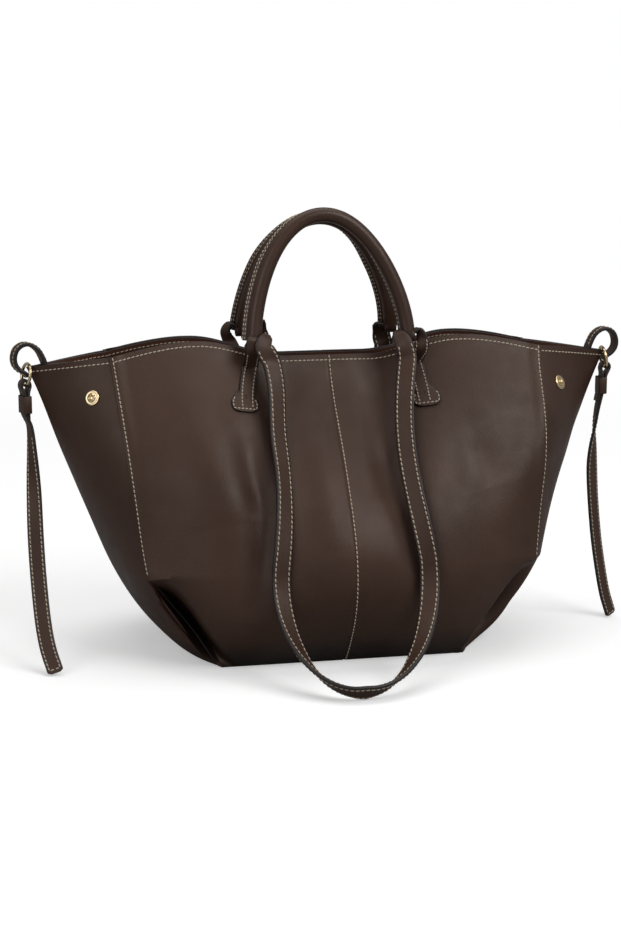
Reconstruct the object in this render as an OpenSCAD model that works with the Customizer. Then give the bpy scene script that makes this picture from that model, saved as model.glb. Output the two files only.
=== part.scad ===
// Open-topped trapeze bag: four wall panels, two folding side wings, a flat base, two rolled
// top handles, two hanging shoulder straps and a cinching tie at each end of the rim.
// Millimetres, +Z up, X along the width, front towards -Y, origin on the floor under the base.

/* [Rim] */
// Width of the open rim, from wing tip to wing tip
rim_w = 490; // [450:5:520]
// Height of the rim at the middle of the front and back
rim_mid_z = 241.5; // [225:0.5:255]
// Height of the two humps of the rim beside the handles
rim_hump_z = 256; // [245:0.5:268]
// Height of the rim at the wing tips
rim_tip_z = 236; // [220:0.5:245]
// Half depth of the opening at the middle of the rim
rim_mid_y = 14; // [12:0.5:20]

/* [Walls] */
// Half width of the front and back panels at the rim
seam_top_x = 178; // [165:1:190]
// Half depth of the opening where the panels meet the wings
seam_top_y = 25; // [20:1:32]
// Half width where a panel seam ends above a corner tuck
seam_end_x = 158; // [150:1:166]
// Half depth where a panel seam ends above a corner tuck
seam_end_y = 84; // [80:1:90]
// Height where a panel seam ends above a corner tuck
seam_end_z = 78; // [65:1:90]
// How far the middle of a wall bellies out past a straight wall
belly = 64; // [40:1:70]
// How far a wing bellies out past a straight line from rim to base
wing_belly = 37; // [25:1:42]
// Depth of the tuck folded into each bottom corner
tuck_depth = 24; // [10:1:28]
// Thickness of the wall leather
leather_t = 1.6; // [1.2:0.1:2]
// Thickness of the lining
lining_t = 0.9; // [0.6:0.1:1.2]

/* [Base] */
// Width of the flat base
base_w = 200; // [180:1:220]
// Depth of the flat base
base_d = 156; // [140:1:166]
// Thickness of the stiffening board inside the base
board_t = 2.4; // [1.5:0.1:3]

/* [Handles] */
// Height of a handle arch above its roots
handle_rise = 99; // [85:1:120]
// Half distance between the two roots of a handle
root_x = 64; // [60:0.5:70]
// Distance of the roots in front of the middle of the bag
root_y = 30; // [29:0.5:32]
// Height of the roots
root_z = 258; // [257:0.5:262]
// Radius of the rolled handle
handle_r = 6; // [5:0.1:6.5]
// How far the top of both handles sways to the left
handle_sway = 3.5; // [0:0.5:5]
// Lean of the front handle towards the back
front_lean = 10; // [8:0.5:11]
// Lean of the back handle towards the front
back_lean = 17; // [14:0.5:17.5]

/* [Straps and tabs] */
// Width of the shoulder straps and their tabs
strap_w = 16; // [12:0.5:18]
// Thickness of the shoulder straps
strap_t = 3; // [2:0.1:3.4]
// How far in front of the middle the hanging strap reaches on the floor
strap_reach = 186; // [180:1:200]
// Width of the rounded foot of a tab
foot_w = 22; // [18:0.5:24]
// Height of the bottom of a tab's foot
foot_z = 202; // [196:1:208]

/* [Rings and ties] */
// Outer diameter of a ring
ring_d = 20; // [18:0.5:22]
// Thickness of the ring's wire
ring_wire = 2.7; // [2.2:0.1:3]
// Turn of the left ring about the vertical, away from square to the rim
left_ring_yaw = 18; // [0:1:25]
// Turn of the right ring about the vertical, away from square to the rim
right_ring_yaw = -3; // [-10:1:10]
// Width of a tie
tie_w = 13; // [10:0.5:14]
// Thickness of a tie
tie_t = 2.2; // [1.6:0.1:2.4]

/* [Snap fasteners] */
// Diameter of a snap's face
snap_d = 12.5; // [10:0.5:14]
// Radius of the hole in a snap socket
socket_r = 2; // [1.5:0.1:2.5]
// Gap between a snap stud and the hole it clips into
snap_clearance = 0.1; // [0.05:0.01:0.2]
// Place of a snap across the wing, from the seam at 0 to the tip at 1
snap_across = 0.31; // [0.2:0.01:0.6]
// Height of a snap as a share of the rim's height
snap_up = 0.885; // [0.8:0.005:0.9]

/* [Hidden] */

leather = "#4a382f";
leather_dark = "#3a2a23";
lining_brown = "#3a1d17";
gold = "#e3c48c";
board_tan = "#b59a76";

// Small gap that keeps neighbouring soft pieces apart
soft_gap = 0.3;
// Level and column counts of the wall grid
tuck_levels = 8;
wall_levels = 11;
panel_columns = 10;
wing_columns = 8;
wing_lining_columns = 5;

// Helpers
function mix(a, b, t) = a + (b - a) * t;
function clamp01(x) = min(max(x, 0), 1);
function smooth(x) = let (c = clamp01(x)) c * c * (3 - 2 * c);
function unit(v) = v / max(norm(v), 1e-9);
function bump(h, a, b) = let (top = a / (a + b))
    (h <= 0 || h >= 1) ? 0 : pow(h / top, a) * pow((1 - h) / (1 - top), b);
function bezier(p, s) = p[0] * pow(1 - s, 3) + 3 * p[1] * s * pow(1 - s, 2)
    + 3 * p[2] * s * s * (1 - s) + p[3] * pow(s, 3);
function flip_x(p) = [-p[0], p[1], p[2]];
function flip_y(p) = [p[0], -p[1], p[2]];

// Rim height above a place at distance x from the middle
hump_x = mix(rim_mid_y, seam_top_x, 0.62);
function rim_z(x) =
    x <= hump_x ? mix(rim_mid_z, rim_hump_z, smooth((x - 34) / (hump_x - 40)))
    : x <= seam_top_x ? mix(rim_hump_z, seam_top_z, pow((x - hump_x) / (seam_top_x - hump_x), 1.6))
    : mix(seam_top_z, rim_tip_z, pow(clamp01((x - seam_top_x) / (rim_w / 2 - seam_top_x)), 1.15));
seam_top_z = mix(rim_tip_z, rim_hump_z, 0.475);

// Guide lines of one quarter of the wall at the height share h, as [x, distance from the middle]
tuck_share = seam_end_z / seam_top_z;
function middle_line(h) = [0, mix(base_d / 2, rim_mid_y, h) + belly * bump(h, 1.08, 1.77)];
function tip_line(h) = [mix(base_w / 2, rim_w / 2, h) + wing_belly * bump(h, 0.35, 1.4), 0];
function upper_seam(h) = let (k = (h - tuck_share) / (1 - tuck_share))
    [mix(seam_end_x, seam_top_x, pow(k, 0.9)), mix(seam_end_y, seam_top_y, k) + 10 * bump(k, 2, 1.64)];
function fold_line(h) = let (k = h / tuck_share)
    [mix(base_w / 2, seam_end_x, k) + 3 * sin(180 * k), mix(base_d / 2, seam_end_y, k) + 2 * sin(180 * k)];
function full_corner(h) = let (k = h / tuck_share)
    [mix(base_w / 2, seam_end_x, pow(k, 0.45)), mix(base_d / 2, seam_end_y, k) + 9 * sin(180 * k)];
function seam_line(h) = h >= tuck_share ? upper_seam(h) : fold_line(h);
function corner_line(h) = h >= tuck_share ? upper_seam(h) : full_corner(h);

// The tuck pushes both sides of a corner inwards, one side sharply and the other in a soft roll
sharp_side = 10;
soft_side = 30;
inwards = [-0.75, -0.66];
function tuck_at(h) = let (k = h / tuck_share)
    (k <= 0 || k >= 1) ? 0 : tuck_depth * pow(sin(180 * k), 1.2);
function tuck_push(distance, h, sharp) = let (q = clamp01(distance / (sharp ? sharp_side : soft_side)))
    inwards * tuck_at(h) * (sharp ? 1 - q : 1 - smooth(q));

function panel_xy(u, h, sharp) = let (
    c = middle_line(h), s = corner_line(h), off = seam_line(h) - s, long = norm(s - c),
    a = 32 * bump(h, 0.5, 1.3) - 5 * h,
    curve = [c, [c[0] + long * 0.4, c[1]], s + long * 0.3 * [-cos(a), sin(a)], s])
    bezier(curve, u) + off * pow(u, 4) + tuck_push((1 - u) * long, h, sharp);
function wing_xy(v, h, sharp) = let (
    s = corner_line(h), off = seam_line(h) - s, t = tip_line(h), long = norm(s - t),
    a = mix(90, 15, pow(h, 0.6)), b = mix(90, 25, smooth((h - 0.6) / 0.4)),
    curve = [s, s + long * 0.33 * [cos(a), -sin(a)], t + long * 0.28 * [-cos(b), sin(b)], t])
    bezier(curve, v) + off * pow(1 - v, 3) + tuck_push(v * long, h, sharp);

// A column runs up the wall: 0 to 1 crosses a panel, 1 to 2 crosses half a wing
function wall_xy(c, h, sharp_wing) = c <= 1 ? panel_xy(c, h, !sharp_wing) : wing_xy(c - 1, h, sharp_wing);
function wall_point(c, h, sharp_wing) = let (p = wall_xy(c, h, sharp_wing), top = wall_xy(c, 1, sharp_wing))
    [p[0], -p[1], h * rim_z(top[0])];

levels = concat(
    [for (i = [0:tuck_levels - 1]) tuck_share * pow(i / tuck_levels, 1.2)],
    [for (i = [0:wall_levels]) mix(tuck_share, 1, i / wall_levels)]);
columns = concat(
    [for (j = [0:panel_columns]) 1 - pow(1 - j / panel_columns, 1.6)],
    [for (j = [1:wing_columns]) 1 + pow(j / wing_columns, 1.5)]);
last_level = len(levels) - 1;
last_column = len(columns) - 1;

// One quarter of the outer face, with the sharp fold on the wing or on the panel
function quarter_grid(sharp_wing) =
    [for (h = levels) [for (c = columns) wall_point(c, h, sharp_wing)]];
quarter = [quarter_grid(false), quarter_grid(true)];
function grid_normal(g, i, j) = let (
    left = j == 0 ? flip_x(g[i][1]) : g[i][j - 1],
    right = j == last_column ? flip_y(g[i][j - 1]) : g[i][j + 1],
    down = g[max(i - 1, 0)][j],
    up = g[min(i + 1, last_level)][j])
    unit(cross(right - left, up - down));
quarter_normal = [for (g = quarter)
    [for (i = [0:last_level]) [for (j = [0:last_column]) grid_normal(g, i, j)]]];

// A point at depth d under the outer face, kept on its own side of the middle
function sunk(k, i, j, d) = let (p = quarter[k][i][j] - quarter_normal[k][i][j] * d)
    [p[0], j == last_column ? 0 : min(p[1], -0.02 * (last_column - j)), max(p[2], 0)];
function sided(p, side) = [p[0] * side[0], p[1] * side[1], p[2]];
function strip(side, cols, i, d) = let (k = side[0] * side[1] < 0 ? 1 : 0)
    [for (j = cols) sided(sunk(k, i, j, d), side)];

// Quarters by side: x sign, then 1 for the front and -1 for the back
front_right = [1, 1];
front_left = [-1, 1];
back_right = [1, -1];
back_left = [-1, -1];
panel_out = [for (j = [0:panel_columns]) j];
panel_in = [for (j = [panel_columns:-1:0]) j];
wing_out = [for (j = [panel_columns:last_column]) j];
wing_back = [for (j = [last_column - 1:-1:panel_columns]) j];
lining_out = [for (j = [0:panel_columns + wing_lining_columns]) j];
lining_in = [for (j = [panel_columns + wing_lining_columns:-1:1]) j];

// Closed sheet between two grids of rows, each row running left to right seen from outside
function cell(a, b, c, d) = [[a, b, c], [a, c, d]];
module sheet(outer, inner) {
    rows = len(outer);
    cols = len(outer[0]);
    n = rows * cols;
    points = concat([for (r = outer) each r], [for (r = inner) each r]);
    faces = concat(
        [for (i = [0:rows - 2]) for (j = [0:cols - 2]) let (a = i * cols + j)
            each cell(a, a + cols, a + cols + 1, a + 1)],
        [for (i = [0:rows - 2]) for (j = [0:cols - 2]) let (a = n + i * cols + j)
            each cell(a, a + 1, a + cols + 1, a + cols)],
        [for (i = [0:rows - 2]) let (a = i * cols) each cell(a, n + a, n + a + cols, a + cols)],
        [for (i = [0:rows - 2]) let (a = i * cols + cols - 1) each cell(a, a + cols, n + a + cols, n + a)],
        [for (j = [0:cols - 2]) each cell(j, j + 1, n + j + 1, n + j)],
        [for (j = [0:cols - 2]) let (a = (rows - 1) * cols + j) each cell(a, n + a, n + a + 1, a + 1)]);
    polyhedron(points, faces);
}
module wall(side, cols, side2, cols2, d0, d1, first) {
    sheet(
        [for (i = [first:last_level]) concat(strip(side, cols, i, d0), strip(side2, cols2, i, d0))],
        [for (i = [first:last_level]) concat(strip(side, cols, i, d1), strip(side2, cols2, i, d1))]);
}
module panel(side, cols) {
    color(leather) wall(side, cols, side, [], 0, leather_t, 0);
}
module wing(from, to) {
    color(leather) wall(from, wing_out, to, wing_back, 0, leather_t, 0);
}
lining_d = leather_t + 0.15;
facing_d = lining_d + lining_t + 0.15;
facing_t = 1.2;
module lining(from, to) {
    color(lining_brown) wall(from, lining_in, to, lining_out, lining_d, lining_d + lining_t, 2);
}
module rim_facing(from, to) {
    color(leather_dark) wall(from, lining_in, to, lining_out, facing_d, facing_d + facing_t, last_level - 1);
}

// Base
base_inset = 1.9;
corner_cut = 6;
module slab(inset, z, t) {
    x = base_w / 2 - inset;
    y = base_d / 2 - inset;
    c = corner_cut;
    translate([0, 0, z]) linear_extrude(t)
        polygon([[x - c, y], [x, y - c], [x, c - y], [x - c, -y],
            [c - x, -y], [-x, c - y], [-x, y - c], [c - x, y]]);
}
base_panel_t = leather_t;
board_inset = 7;
module base_panel() {
    color(leather_dark) slab(base_inset, 0, base_panel_t);
}
module base_board() {
    color(board_tan) slab(board_inset, base_panel_t, board_t);
}
module base_lining() {
    color(lining_brown) slab(board_inset, base_panel_t + board_t, lining_t);
}

// Sweeps: a closed profile carried along a line of sections
module loft(sections) {
    n = len(sections[0]);
    m = len(sections);
    faces = concat(
        [for (i = [0:m - 2]) for (k = [0:n - 1]) let (a = i * n + k, b = i * n + (k + 1) % n)
            each cell(a, b, b + n, a + n)],
        [for (k = [1:n - 2]) [0, k + 1, k]],
        [for (k = [1:n - 2]) let (e = (m - 1) * n) [e, e + k, e + k + 1]]);
    polyhedron([for (s = sections) each s], faces);
}
module hollow_loft(outer, inner) {
    n = len(outer[0]);
    m = len(outer);
    t = n * m;
    e = (m - 1) * n;
    faces = concat(
        [for (i = [0:m - 2]) for (k = [0:n - 1]) let (a = i * n + k, b = i * n + (k + 1) % n)
            each cell(a, b, b + n, a + n)],
        [for (i = [0:m - 2]) for (k = [0:n - 1]) let (a = t + i * n + k, b = t + i * n + (k + 1) % n)
            each cell(a, a + n, b + n, b)],
        [for (k = [0:n - 1]) let (b = (k + 1) % n) each cell(k, t + k, t + b, b)],
        [for (k = [0:n - 1]) let (a = e + k, b = e + (k + 1) % n) each cell(a, b, t + b, t + a)]);
    polyhedron(concat([for (s = outer) each s], [for (s = inner) each s]), faces);
}
function tangent(path, i) = unit(path[min(i + 1, len(path) - 1)] - path[max(i - 1, 0)]);
// A flat band: width w along the given direction and thickness t across it
function band(path, across, w, t) = [for (i = [0:len(path) - 1]) let (
    d = tangent(path, i), a = unit(across[i] - d * (across[i] * d)), n = cross(d, a))
    [for (q = [[1, 1], [1, -1], [-1, -1], [-1, 1]]) path[i] + a * q[0] * w[i] / 2 + n * q[1] * t[i] / 2]];
// The same band with a rounded section that is round at 1 and square-cornered towards 0
band_sides = 12;
function signed_power(v, e) = sign(v) * pow(abs(v), e);
function soft_band(path, across, w, t, round) = [for (i = [0:len(path) - 1]) let (
    d = tangent(path, i), a = unit(across[i] - d * (across[i] * d)), n = cross(d, a))
    [for (k = [0:band_sides - 1]) let (q = -360 * (k + 0.5) / band_sides)
        path[i] + a * signed_power(cos(q), round[i]) * w[i] / 2
            + n * signed_power(sin(q), round[i]) * t[i] / 2]];

// Handles: a rolled tube with a sewn fin along the outside of the arch
handle_sides = 10;
handle_steps = 16;
// The seam of the roll stands out as a fin, towards the back and to the left on both handles, and
// fades near the top of the arch
seam_fin = 4;
fin_way_front = [-0.5, 0.87, 0];
fin_way_back = [-0.75, -0.66, 0];
leather_roll = 1.5;
core_gap = 0.1;
neck_l = 8;
handle_rake = 6;
handle_start = [root_x - neck_l * sin(handle_rake), neck_l * cos(handle_rake)];
handle_curve = [handle_start,
    handle_start + handle_rise * 0.37 * [-sin(handle_rake), cos(handle_rake)],
    [root_x * 0.56, handle_rise], [0, handle_rise]];
function swayed(p, sx) = [sx * p[0] - handle_sway * smooth((p[1] - neck_l) / handle_rise), p[1]];
handle_line = concat(
    [for (i = [0:handle_steps]) swayed(bezier(handle_curve, i / handle_steps), 1)],
    [for (i = [handle_steps - 1:-1:0]) swayed(bezier(handle_curve, i / handle_steps), -1)]);
function leaned(p, lean) = [p[0], -root_y + p[1] * sin(lean), root_z + p[1] * cos(lean)];
function roll_section(path, i, way, r, fin) = let (
    d = tangent(path, i), f = unit(way - d * (way * d)), g = cross(d, f),
    share = (path[i][2] - root_z) / handle_rise, out = fin * (1 - smooth((share - 0.6) / 0.33)))
    [for (k = [0:handle_sides - 1]) let (a = 360 * k / handle_sides)
        path[i] + (f * cos(a) - g * sin(a)) * (k == 0 ? r + out : r)];
function roll(lean, way, r, fin) = let (path = [for (p = handle_line) leaned(p, lean)])
    [for (i = [0:len(path) - 1]) roll_section(path, i, way, r, fin)];
module handle_cover(lean, way) {
    color(leather)
        hollow_loft(roll(lean, way, handle_r, seam_fin), roll(lean, way, handle_r - leather_roll, 0));
}
module handle_core(lean, way) {
    color(board_tan) loft(roll(lean, way, handle_r - leather_roll - core_gap, 0));
}

// Eyes at the handle's ends, which turn on the bars of the tabs
bar_r = 2.8;
eye_clearance = 0.4;
eye_wall = 2;
eye_l = 8;
eye_r = bar_r + eye_clearance + eye_wall;
neck_r = 4;
neck_gap = 0.5;
module handle_eye(lean) {
    difference() {
        union() {
            rotate([0, 90, 0]) cylinder(r = eye_r, h = eye_l, center = true, $fn = 48);
            rotate([-lean, 0, 0]) rotate([0, -handle_rake, 0])
                cylinder(r = neck_r, h = neck_l - neck_gap, $fn = 48);
        }
        rotate([0, 90, 0]) cylinder(r = bar_r + eye_clearance, h = 3 * eye_l, center = true, $fn = 48);
    }
}
module handle_eyes(lean) {
    color(leather_dark) {
        translate([root_x, -root_y, root_z]) handle_eye(lean);
        mirror([1, 0, 0]) translate([root_x, -root_y, root_z]) handle_eye(lean);
    }
}

// Place on the front wall at x and height z, as the distance from the middle
function wall_y(x, z) = let (h = z / rim_z(x), row = [for (u = [0:0.05:1]) panel_xy(u, h, false)])
    lookup(x, row);
facet_allowance = 1;
function on_wall(x, z, t) = [x, -wall_y(x, z) - soft_gap - facet_allowance - t / 2, z];
function along_wall(p) = unit([2, wall_y(p[0] - 1, p[2]) - wall_y(p[0] + 1, p[2]), 0]);

// Tabs: a bar through the handle's eye, then a flat strap down the wall to a rounded foot
bar_half = eye_l / 2 + 1;
tab_t = 2.6;
tab_top_w = 12;
tab_x = root_x + 5;
foot_x = root_x + 12;
tab_steps = 10;
foot_steps = 4;
tab_wall_z = rim_mid_z - 5;
tab_path = concat(
    [[root_x - bar_half, -root_y, root_z], [root_x + bar_half, -root_y, root_z],
     [root_x + bar_half + 3, -root_y - 0.2, root_z - 1], [root_x + bar_half + 5, -root_y - 0.6, root_z - 4]],
    [for (i = [0:tab_steps]) on_wall(mix(tab_x, foot_x, i / tab_steps), mix(tab_wall_z, foot_z, i / tab_steps),
        tab_t)]);
tab_last = len(tab_path) - 1;
function foot_shape(i) = let (k = clamp01((i - (tab_last - foot_steps)) / foot_steps))
    mix(mix(tab_top_w, 14, clamp01(i / tab_last)), foot_w, smooth(k / 0.6)) * (k > 0.75 ? 0.75 : 1);
tab_across = [for (i = [0:tab_last]) i < 2 ? [0, 1, 0] : i == 2 ? [0.3, 1, 0] : i == 3 ? [1, 0.6, 0]
    : along_wall(tab_path[i])];
tab_width = [for (i = [0:tab_last]) i < 2 ? 2 * bar_r : i == 2 ? 7 : i == 3 ? 10 : foot_shape(i)];
tab_thick = [for (i = [0:tab_last]) i < 2 ? 2 * bar_r : i == 2 ? 4.4 : i == 3 ? 3.2 : tab_t];
tab_round = [for (i = [0:tab_last]) i < 2 ? 1 : i == 2 ? 0.8 : i == 3 ? 0.5 : 0.3];
module tab() {
    color(leather) loft(soft_band(tab_path, tab_across, tab_width, tab_thick, tab_round));
}

// Shoulder straps: a gathered top beside each bar, legs down the wall, a twist and a loop on the floor
strap_top_gap = 0.4;
strap_in = root_x - bar_half - strap_top_gap;
strap_bow = 10.5;
strap_tilt = 50;
strap_drift = -8;
strap_leave_z = 92;
strap_wall_steps = 14;
strap_floor_steps = 16;
strap_lift = 20;
function strap_place(z) = on_wall(strap_x(z), z, strap_t) - [0, strap_lift * smooth((z - 150) / 90), 0];
function strap_x(z) = root_x - 2 - strap_bow * bump((z - 60) / 190, 1.8, 1.4);
strap_low = [0, -strap_reach, strap_w / 2 * sin(strap_tilt) + strap_t / 2 * cos(strap_tilt)];
strap_hang = strap_place(strap_leave_z);
strap_curve = [strap_hang, [root_x, strap_hang[1] - 1, strap_leave_z / 2],
    [44, strap_low[1], strap_low[2]], strap_low];
strap_turn = [along_wall(strap_hang), [1, -0.3, 0], [0, -1.1, 0.2], [0, -cos(strap_tilt), sin(strap_tilt)]];
strap_half = concat(
    [[strap_in - 4, -root_y, root_z], [strap_in - 3.4, -root_y - 6.4, root_z - 2.4],
     [root_x - 4, -root_y - 8.6, root_z - 9]],
    [for (i = [0:strap_wall_steps - 1])
        strap_place(mix(rim_mid_z - 1, strap_leave_z, i / strap_wall_steps))],
    [for (i = [0:strap_floor_steps]) bezier(strap_curve, i / strap_floor_steps)]);
strap_last = len(strap_half) - 1;
function floor_share(i) = clamp01((i - (strap_last - strap_floor_steps)) / strap_floor_steps);
function half_across(i) = i < 3 ? [1, 0, 0] : i <= strap_last - strap_floor_steps ? along_wall(strap_half[i])
    : bezier(strap_turn, floor_share(i));
function half_width(i) = i == 0 ? 8 : i == 1 ? 7.5 : i == 2 ? strap_w - 2 : strap_w;
function half_thick(i) = i == 0 ? 5 : strap_t;
function drift(i) = [strap_drift * smooth(floor_share(i)), 0, 0];
strap_order = concat([for (i = [0:strap_last]) [1, i]], [for (i = [strap_last - 1:-1:0]) [-1, i]]);
strap_path = [for (o = strap_order) let (p = strap_half[o[1]]) [o[0] * p[0], p[1], p[2]] + drift(o[1])];
strap_across = [for (o = strap_order) let (a = half_across(o[1])) [o[0] * a[0], a[1], a[2]]];
module shoulder_strap() {
    color(leather) loft(band(strap_path, strap_across,
        [for (o = strap_order) half_width(o[1])], [for (o = strap_order) half_thick(o[1])]));
}

// Hanging loops over the wing tips: a ribbon bent in the upright plane through both tips
loop_t = 3.4;
loop_w = 9.5;
tip_x = rim_w / 2;
loop_end_z = rim_tip_z - 7;
loop_end_x = tip_line(loop_end_z / rim_tip_z)[0] + soft_gap + loop_t / 2;
loop_shape = [[-23.5, -14], [-19.8, -6], [-17.6, 1], [-13.8, 8], [-10, 15], [-4, 19.3], [2, 19.6], [7, 15.5],
    [9.2, 9], [8.6, 3.2], [5.5, -1.2], [1.5, -4]];
loop_line = concat([for (p = loop_shape) [tip_x, rim_tip_z] + p], [[loop_end_x, loop_end_z]]);
function ribbon_side(line, i, s) = let (
    d = line[min(i + 1, len(line) - 1)] - line[max(i - 1, 0)], n = [-d[1], d[0]] / norm(d))
    line[i] + n * s;
module ribbon(line, t, w) {
    n = len(line) - 1;
    rotate([90, 0, 0]) translate([0, 0, -w / 2]) linear_extrude(w)
        polygon(concat([for (i = [0:n]) ribbon_side(line, i, t / 2)],
            [for (i = [n:-1:0]) ribbon_side(line, i, -t / 2)]));
}
module hanging_loop() {
    color(leather_dark) ribbon(loop_line, loop_t, loop_w);
}

// Rings, round the outer leg of each hanging loop
ring_lean = 10;
ring_mid_r = (ring_d - ring_wire) / 2;
ring_place = [tip_x - 0.5, 0, rim_tip_z - 5.5];
module ring(side, yaw) {
    color(gold) translate([side * ring_place[0], 0, ring_place[2]])
        rotate([0, 0, yaw]) rotate([0, 90 - side * ring_lean, 0])
            rotate_extrude($fn = 96) translate([ring_mid_r, 0]) circle(r = ring_wire / 2, $fn = 32);
}
// Lowest point of a ring's wire, the direction of the wire there and the way out of the bag
function ring_out(side, yaw) = side * [cos(yaw), sin(yaw), 0];
function ring_along(yaw) = [-sin(yaw), cos(yaw), 0];
function ring_low(side, yaw) = [side * ring_place[0], 0, ring_place[2] - ring_mid_r * cos(ring_lean)]
    + ring_out(side, yaw) * ring_mid_r * sin(ring_lean);

// Ties: a strap folded over the ring, held by a keeper and hanging to the floor
fold_gap = 0.3;
fold_clearance = 0.55;
fold_l = 30;
fold_w = tie_w - 5;
wire_rise = ring_mid_r - sqrt(ring_mid_r * ring_mid_r - fold_w * fold_w / 4);
bend_r = ring_wire / 2 + wire_rise / 2 + fold_clearance;
keeper_top = 9;
keeper_l = 14;
keeper_t = 1.2;
fold_r = bend_r + tie_t / 2;
fold_s = (tie_t + fold_gap) / 2;
function fold_point(side, yaw, s, z) = ring_low(side, yaw) + ring_out(side, yaw) * s
    + [0, 0, z + wire_rise / 2];
function fold_path(side, yaw) = concat(
    [for (z = [-fold_l, -keeper_top]) fold_point(side, yaw, -fold_s, z)],
    [fold_point(side, yaw, -fold_r, -2)],
    [for (a = [180:-30:0]) fold_point(side, yaw, fold_r * cos(a), fold_r * sin(a))],
    [fold_point(side, yaw, fold_r, -2)],
    [for (z = [-keeper_top, -keeper_top - keeper_l]) fold_point(side, yaw, fold_s, z)]);
// Routes of the ties below their keepers, down to the floor: how far out from the wing tip, how far
// towards the back, and the height as a share of the tip's height
right_route = [[-6.4, 0, 0.805], [-8, 0, 0.737], [-8.6, 0, 0.67], [-8.2, 0, 0.58], [-6, 0, 0.453],
    [-2.5, 0, 0.318], [2, 0, 0.2], [7, 0, 0.097], [12, 0, 0.03], [13.6, 0, 0.009]];
left_route = [[-2.2, 0, 0.797], [-3.2, -3, 0.712], [-3.5, -9, 0.572], [-3.2, -19, 0.432], [-3.6, -33, 0.3],
    [-5, -50, 0.17], [-7.6, -62, 0.085], [-12.5, -74, 0.013]];
function route_path(side, route) = [for (p = route) [side * (tip_x + p[0]), p[1], p[2] * rim_tip_z]];
function tie_across(yaw, folded, route, face) = concat(
    [for (i = [1:folded]) ring_along(yaw)],
    [for (i = [0:len(route) - 1]) unit(mix(ring_along(yaw), face, smooth(i / 3)))]);
module tie(side, yaw, route, face) {
    fold = fold_path(side, yaw);
    path = concat(fold, route_path(side, route));
    color(leather) loft(band(path, tie_across(yaw, len(fold), route, face),
        [for (i = [0:len(path) - 1]) mix(fold_w, tie_w, smooth((i - len(fold)) / 3))],
        [for (p = path) tie_t]));
}
module keeper(side, yaw) {
    inner_s = 2 * tie_t + fold_gap + 2 * soft_gap;
    inner_w = fold_w + 2 * soft_gap;
    place = fold_point(side, yaw, 0, -keeper_top - keeper_l / 2);
    color(leather_dark) translate(place) rotate([0, 0, yaw]) difference() {
        cube([inner_s + 2 * keeper_t, inner_w + 2 * keeper_t, keeper_l], center = true);
        cube([inner_s, inner_w, keeper_l + 1], center = true);
    }
}

// Snap fasteners: a socket and a stud on each wing, which meet when the wing folds in
snap_t = 1.6;
cap_r = 5;
cap_t = 1;
stud_l = 2;
function snap_frame(sharp_wing) = let (
    p = wall_point(1 + snap_across, snap_up, sharp_wing),
    across = wall_point(1.02 + snap_across, snap_up, sharp_wing)
        - wall_point(0.98 + snap_across, snap_up, sharp_wing),
    up = wall_point(1 + snap_across, snap_up + 0.02, sharp_wing)
        - wall_point(1 + snap_across, snap_up - 0.02, sharp_wing))
    [p, unit(cross(across, up))];
// Sets a piece on the front right wing, with its own Z pointing out of the wall
module on_wing(sharp_wing, lift) {
    f = snap_frame(sharp_wing);
    n = f[1];
    translate(f[0] + n * lift) rotate([0, acos(n[2]), atan2(n[1], n[0])]) children();
}
module snap_cap() {
    translate([0, 0, -cap_t]) cylinder(r = cap_r, h = cap_t, $fn = 48);
}
module snap_socket() {
    difference() {
        cylinder(r = snap_d / 2, h = snap_t, $fn = 64);
        translate([0, 0, -1]) cylinder(r = socket_r, h = snap_t + 2, $fn = 48);
    }
}
module snap_stud() {
    cylinder(r = snap_d / 2, h = snap_t / 2, $fn = 64);
    cylinder(r = socket_r - snap_clearance, h = snap_t / 2 + stud_l, $fn = 48);
}
module snap_sockets() {
    color(gold) {
        mirror([1, 0, 0]) on_wing(true, soft_gap) snap_socket();
        mirror([0, 1, 0]) on_wing(true, soft_gap) snap_socket();
    }
}
module snap_studs() {
    color(gold) {
        on_wing(false, soft_gap) snap_stud();
        rotate([0, 0, 180]) on_wing(false, soft_gap) snap_stud();
    }
}
cap_depth = lining_d + lining_t + soft_gap;
module snap_caps() {
    color(gold) {
        on_wing(false, -cap_depth) snap_cap();
        rotate([0, 0, 180]) on_wing(false, -cap_depth) snap_cap();
        mirror([1, 0, 0]) on_wing(true, -cap_depth) snap_cap();
        mirror([0, 1, 0]) on_wing(true, -cap_depth) snap_cap();
    }
}

panel(front_left, panel_in);  // front_left_panel
panel(front_right, panel_out);  // front_right_panel
panel(back_left, panel_out);  // back_left_panel
panel(back_right, panel_in);  // back_right_panel
wing(back_left, front_left);  // left_wing
wing(front_right, back_right);  // right_wing
lining(front_left, front_right);  // front_lining
lining(back_right, back_left);  // back_lining
rim_facing(front_left, front_right);  // front_rim_facing
rim_facing(back_right, back_left);  // back_rim_facing
base_panel();
base_board();
base_lining();
handle_cover(front_lean, fin_way_front);  // front_handle_cover
mirror([0, 1, 0]) handle_cover(back_lean, fin_way_back);  // back_handle_cover
handle_core(front_lean, fin_way_front);  // front_handle_core
mirror([0, 1, 0]) handle_core(back_lean, fin_way_back);  // back_handle_core
handle_eyes(front_lean);  // front_handle_eyes
mirror([0, 1, 0]) handle_eyes(back_lean);  // back_handle_eyes
mirror([1, 0, 0]) tab();  // front_left_tab
tab();  // front_right_tab
rotate([0, 0, 180]) tab();  // back_left_tab
mirror([0, 1, 0]) tab();  // back_right_tab
shoulder_strap();  // front_shoulder_strap
rotate([0, 0, 180]) shoulder_strap();  // back_shoulder_strap
mirror([1, 0, 0]) hanging_loop();  // left_hanging_loop
hanging_loop();  // right_hanging_loop
ring(-1, left_ring_yaw);  // left_ring
ring(1, right_ring_yaw);  // right_ring
tie(-1, left_ring_yaw, left_route, [1, -0.2, 0]);  // left_tie
tie(1, right_ring_yaw, right_route, [0.6, 0.8, 0]);  // right_tie
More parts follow.
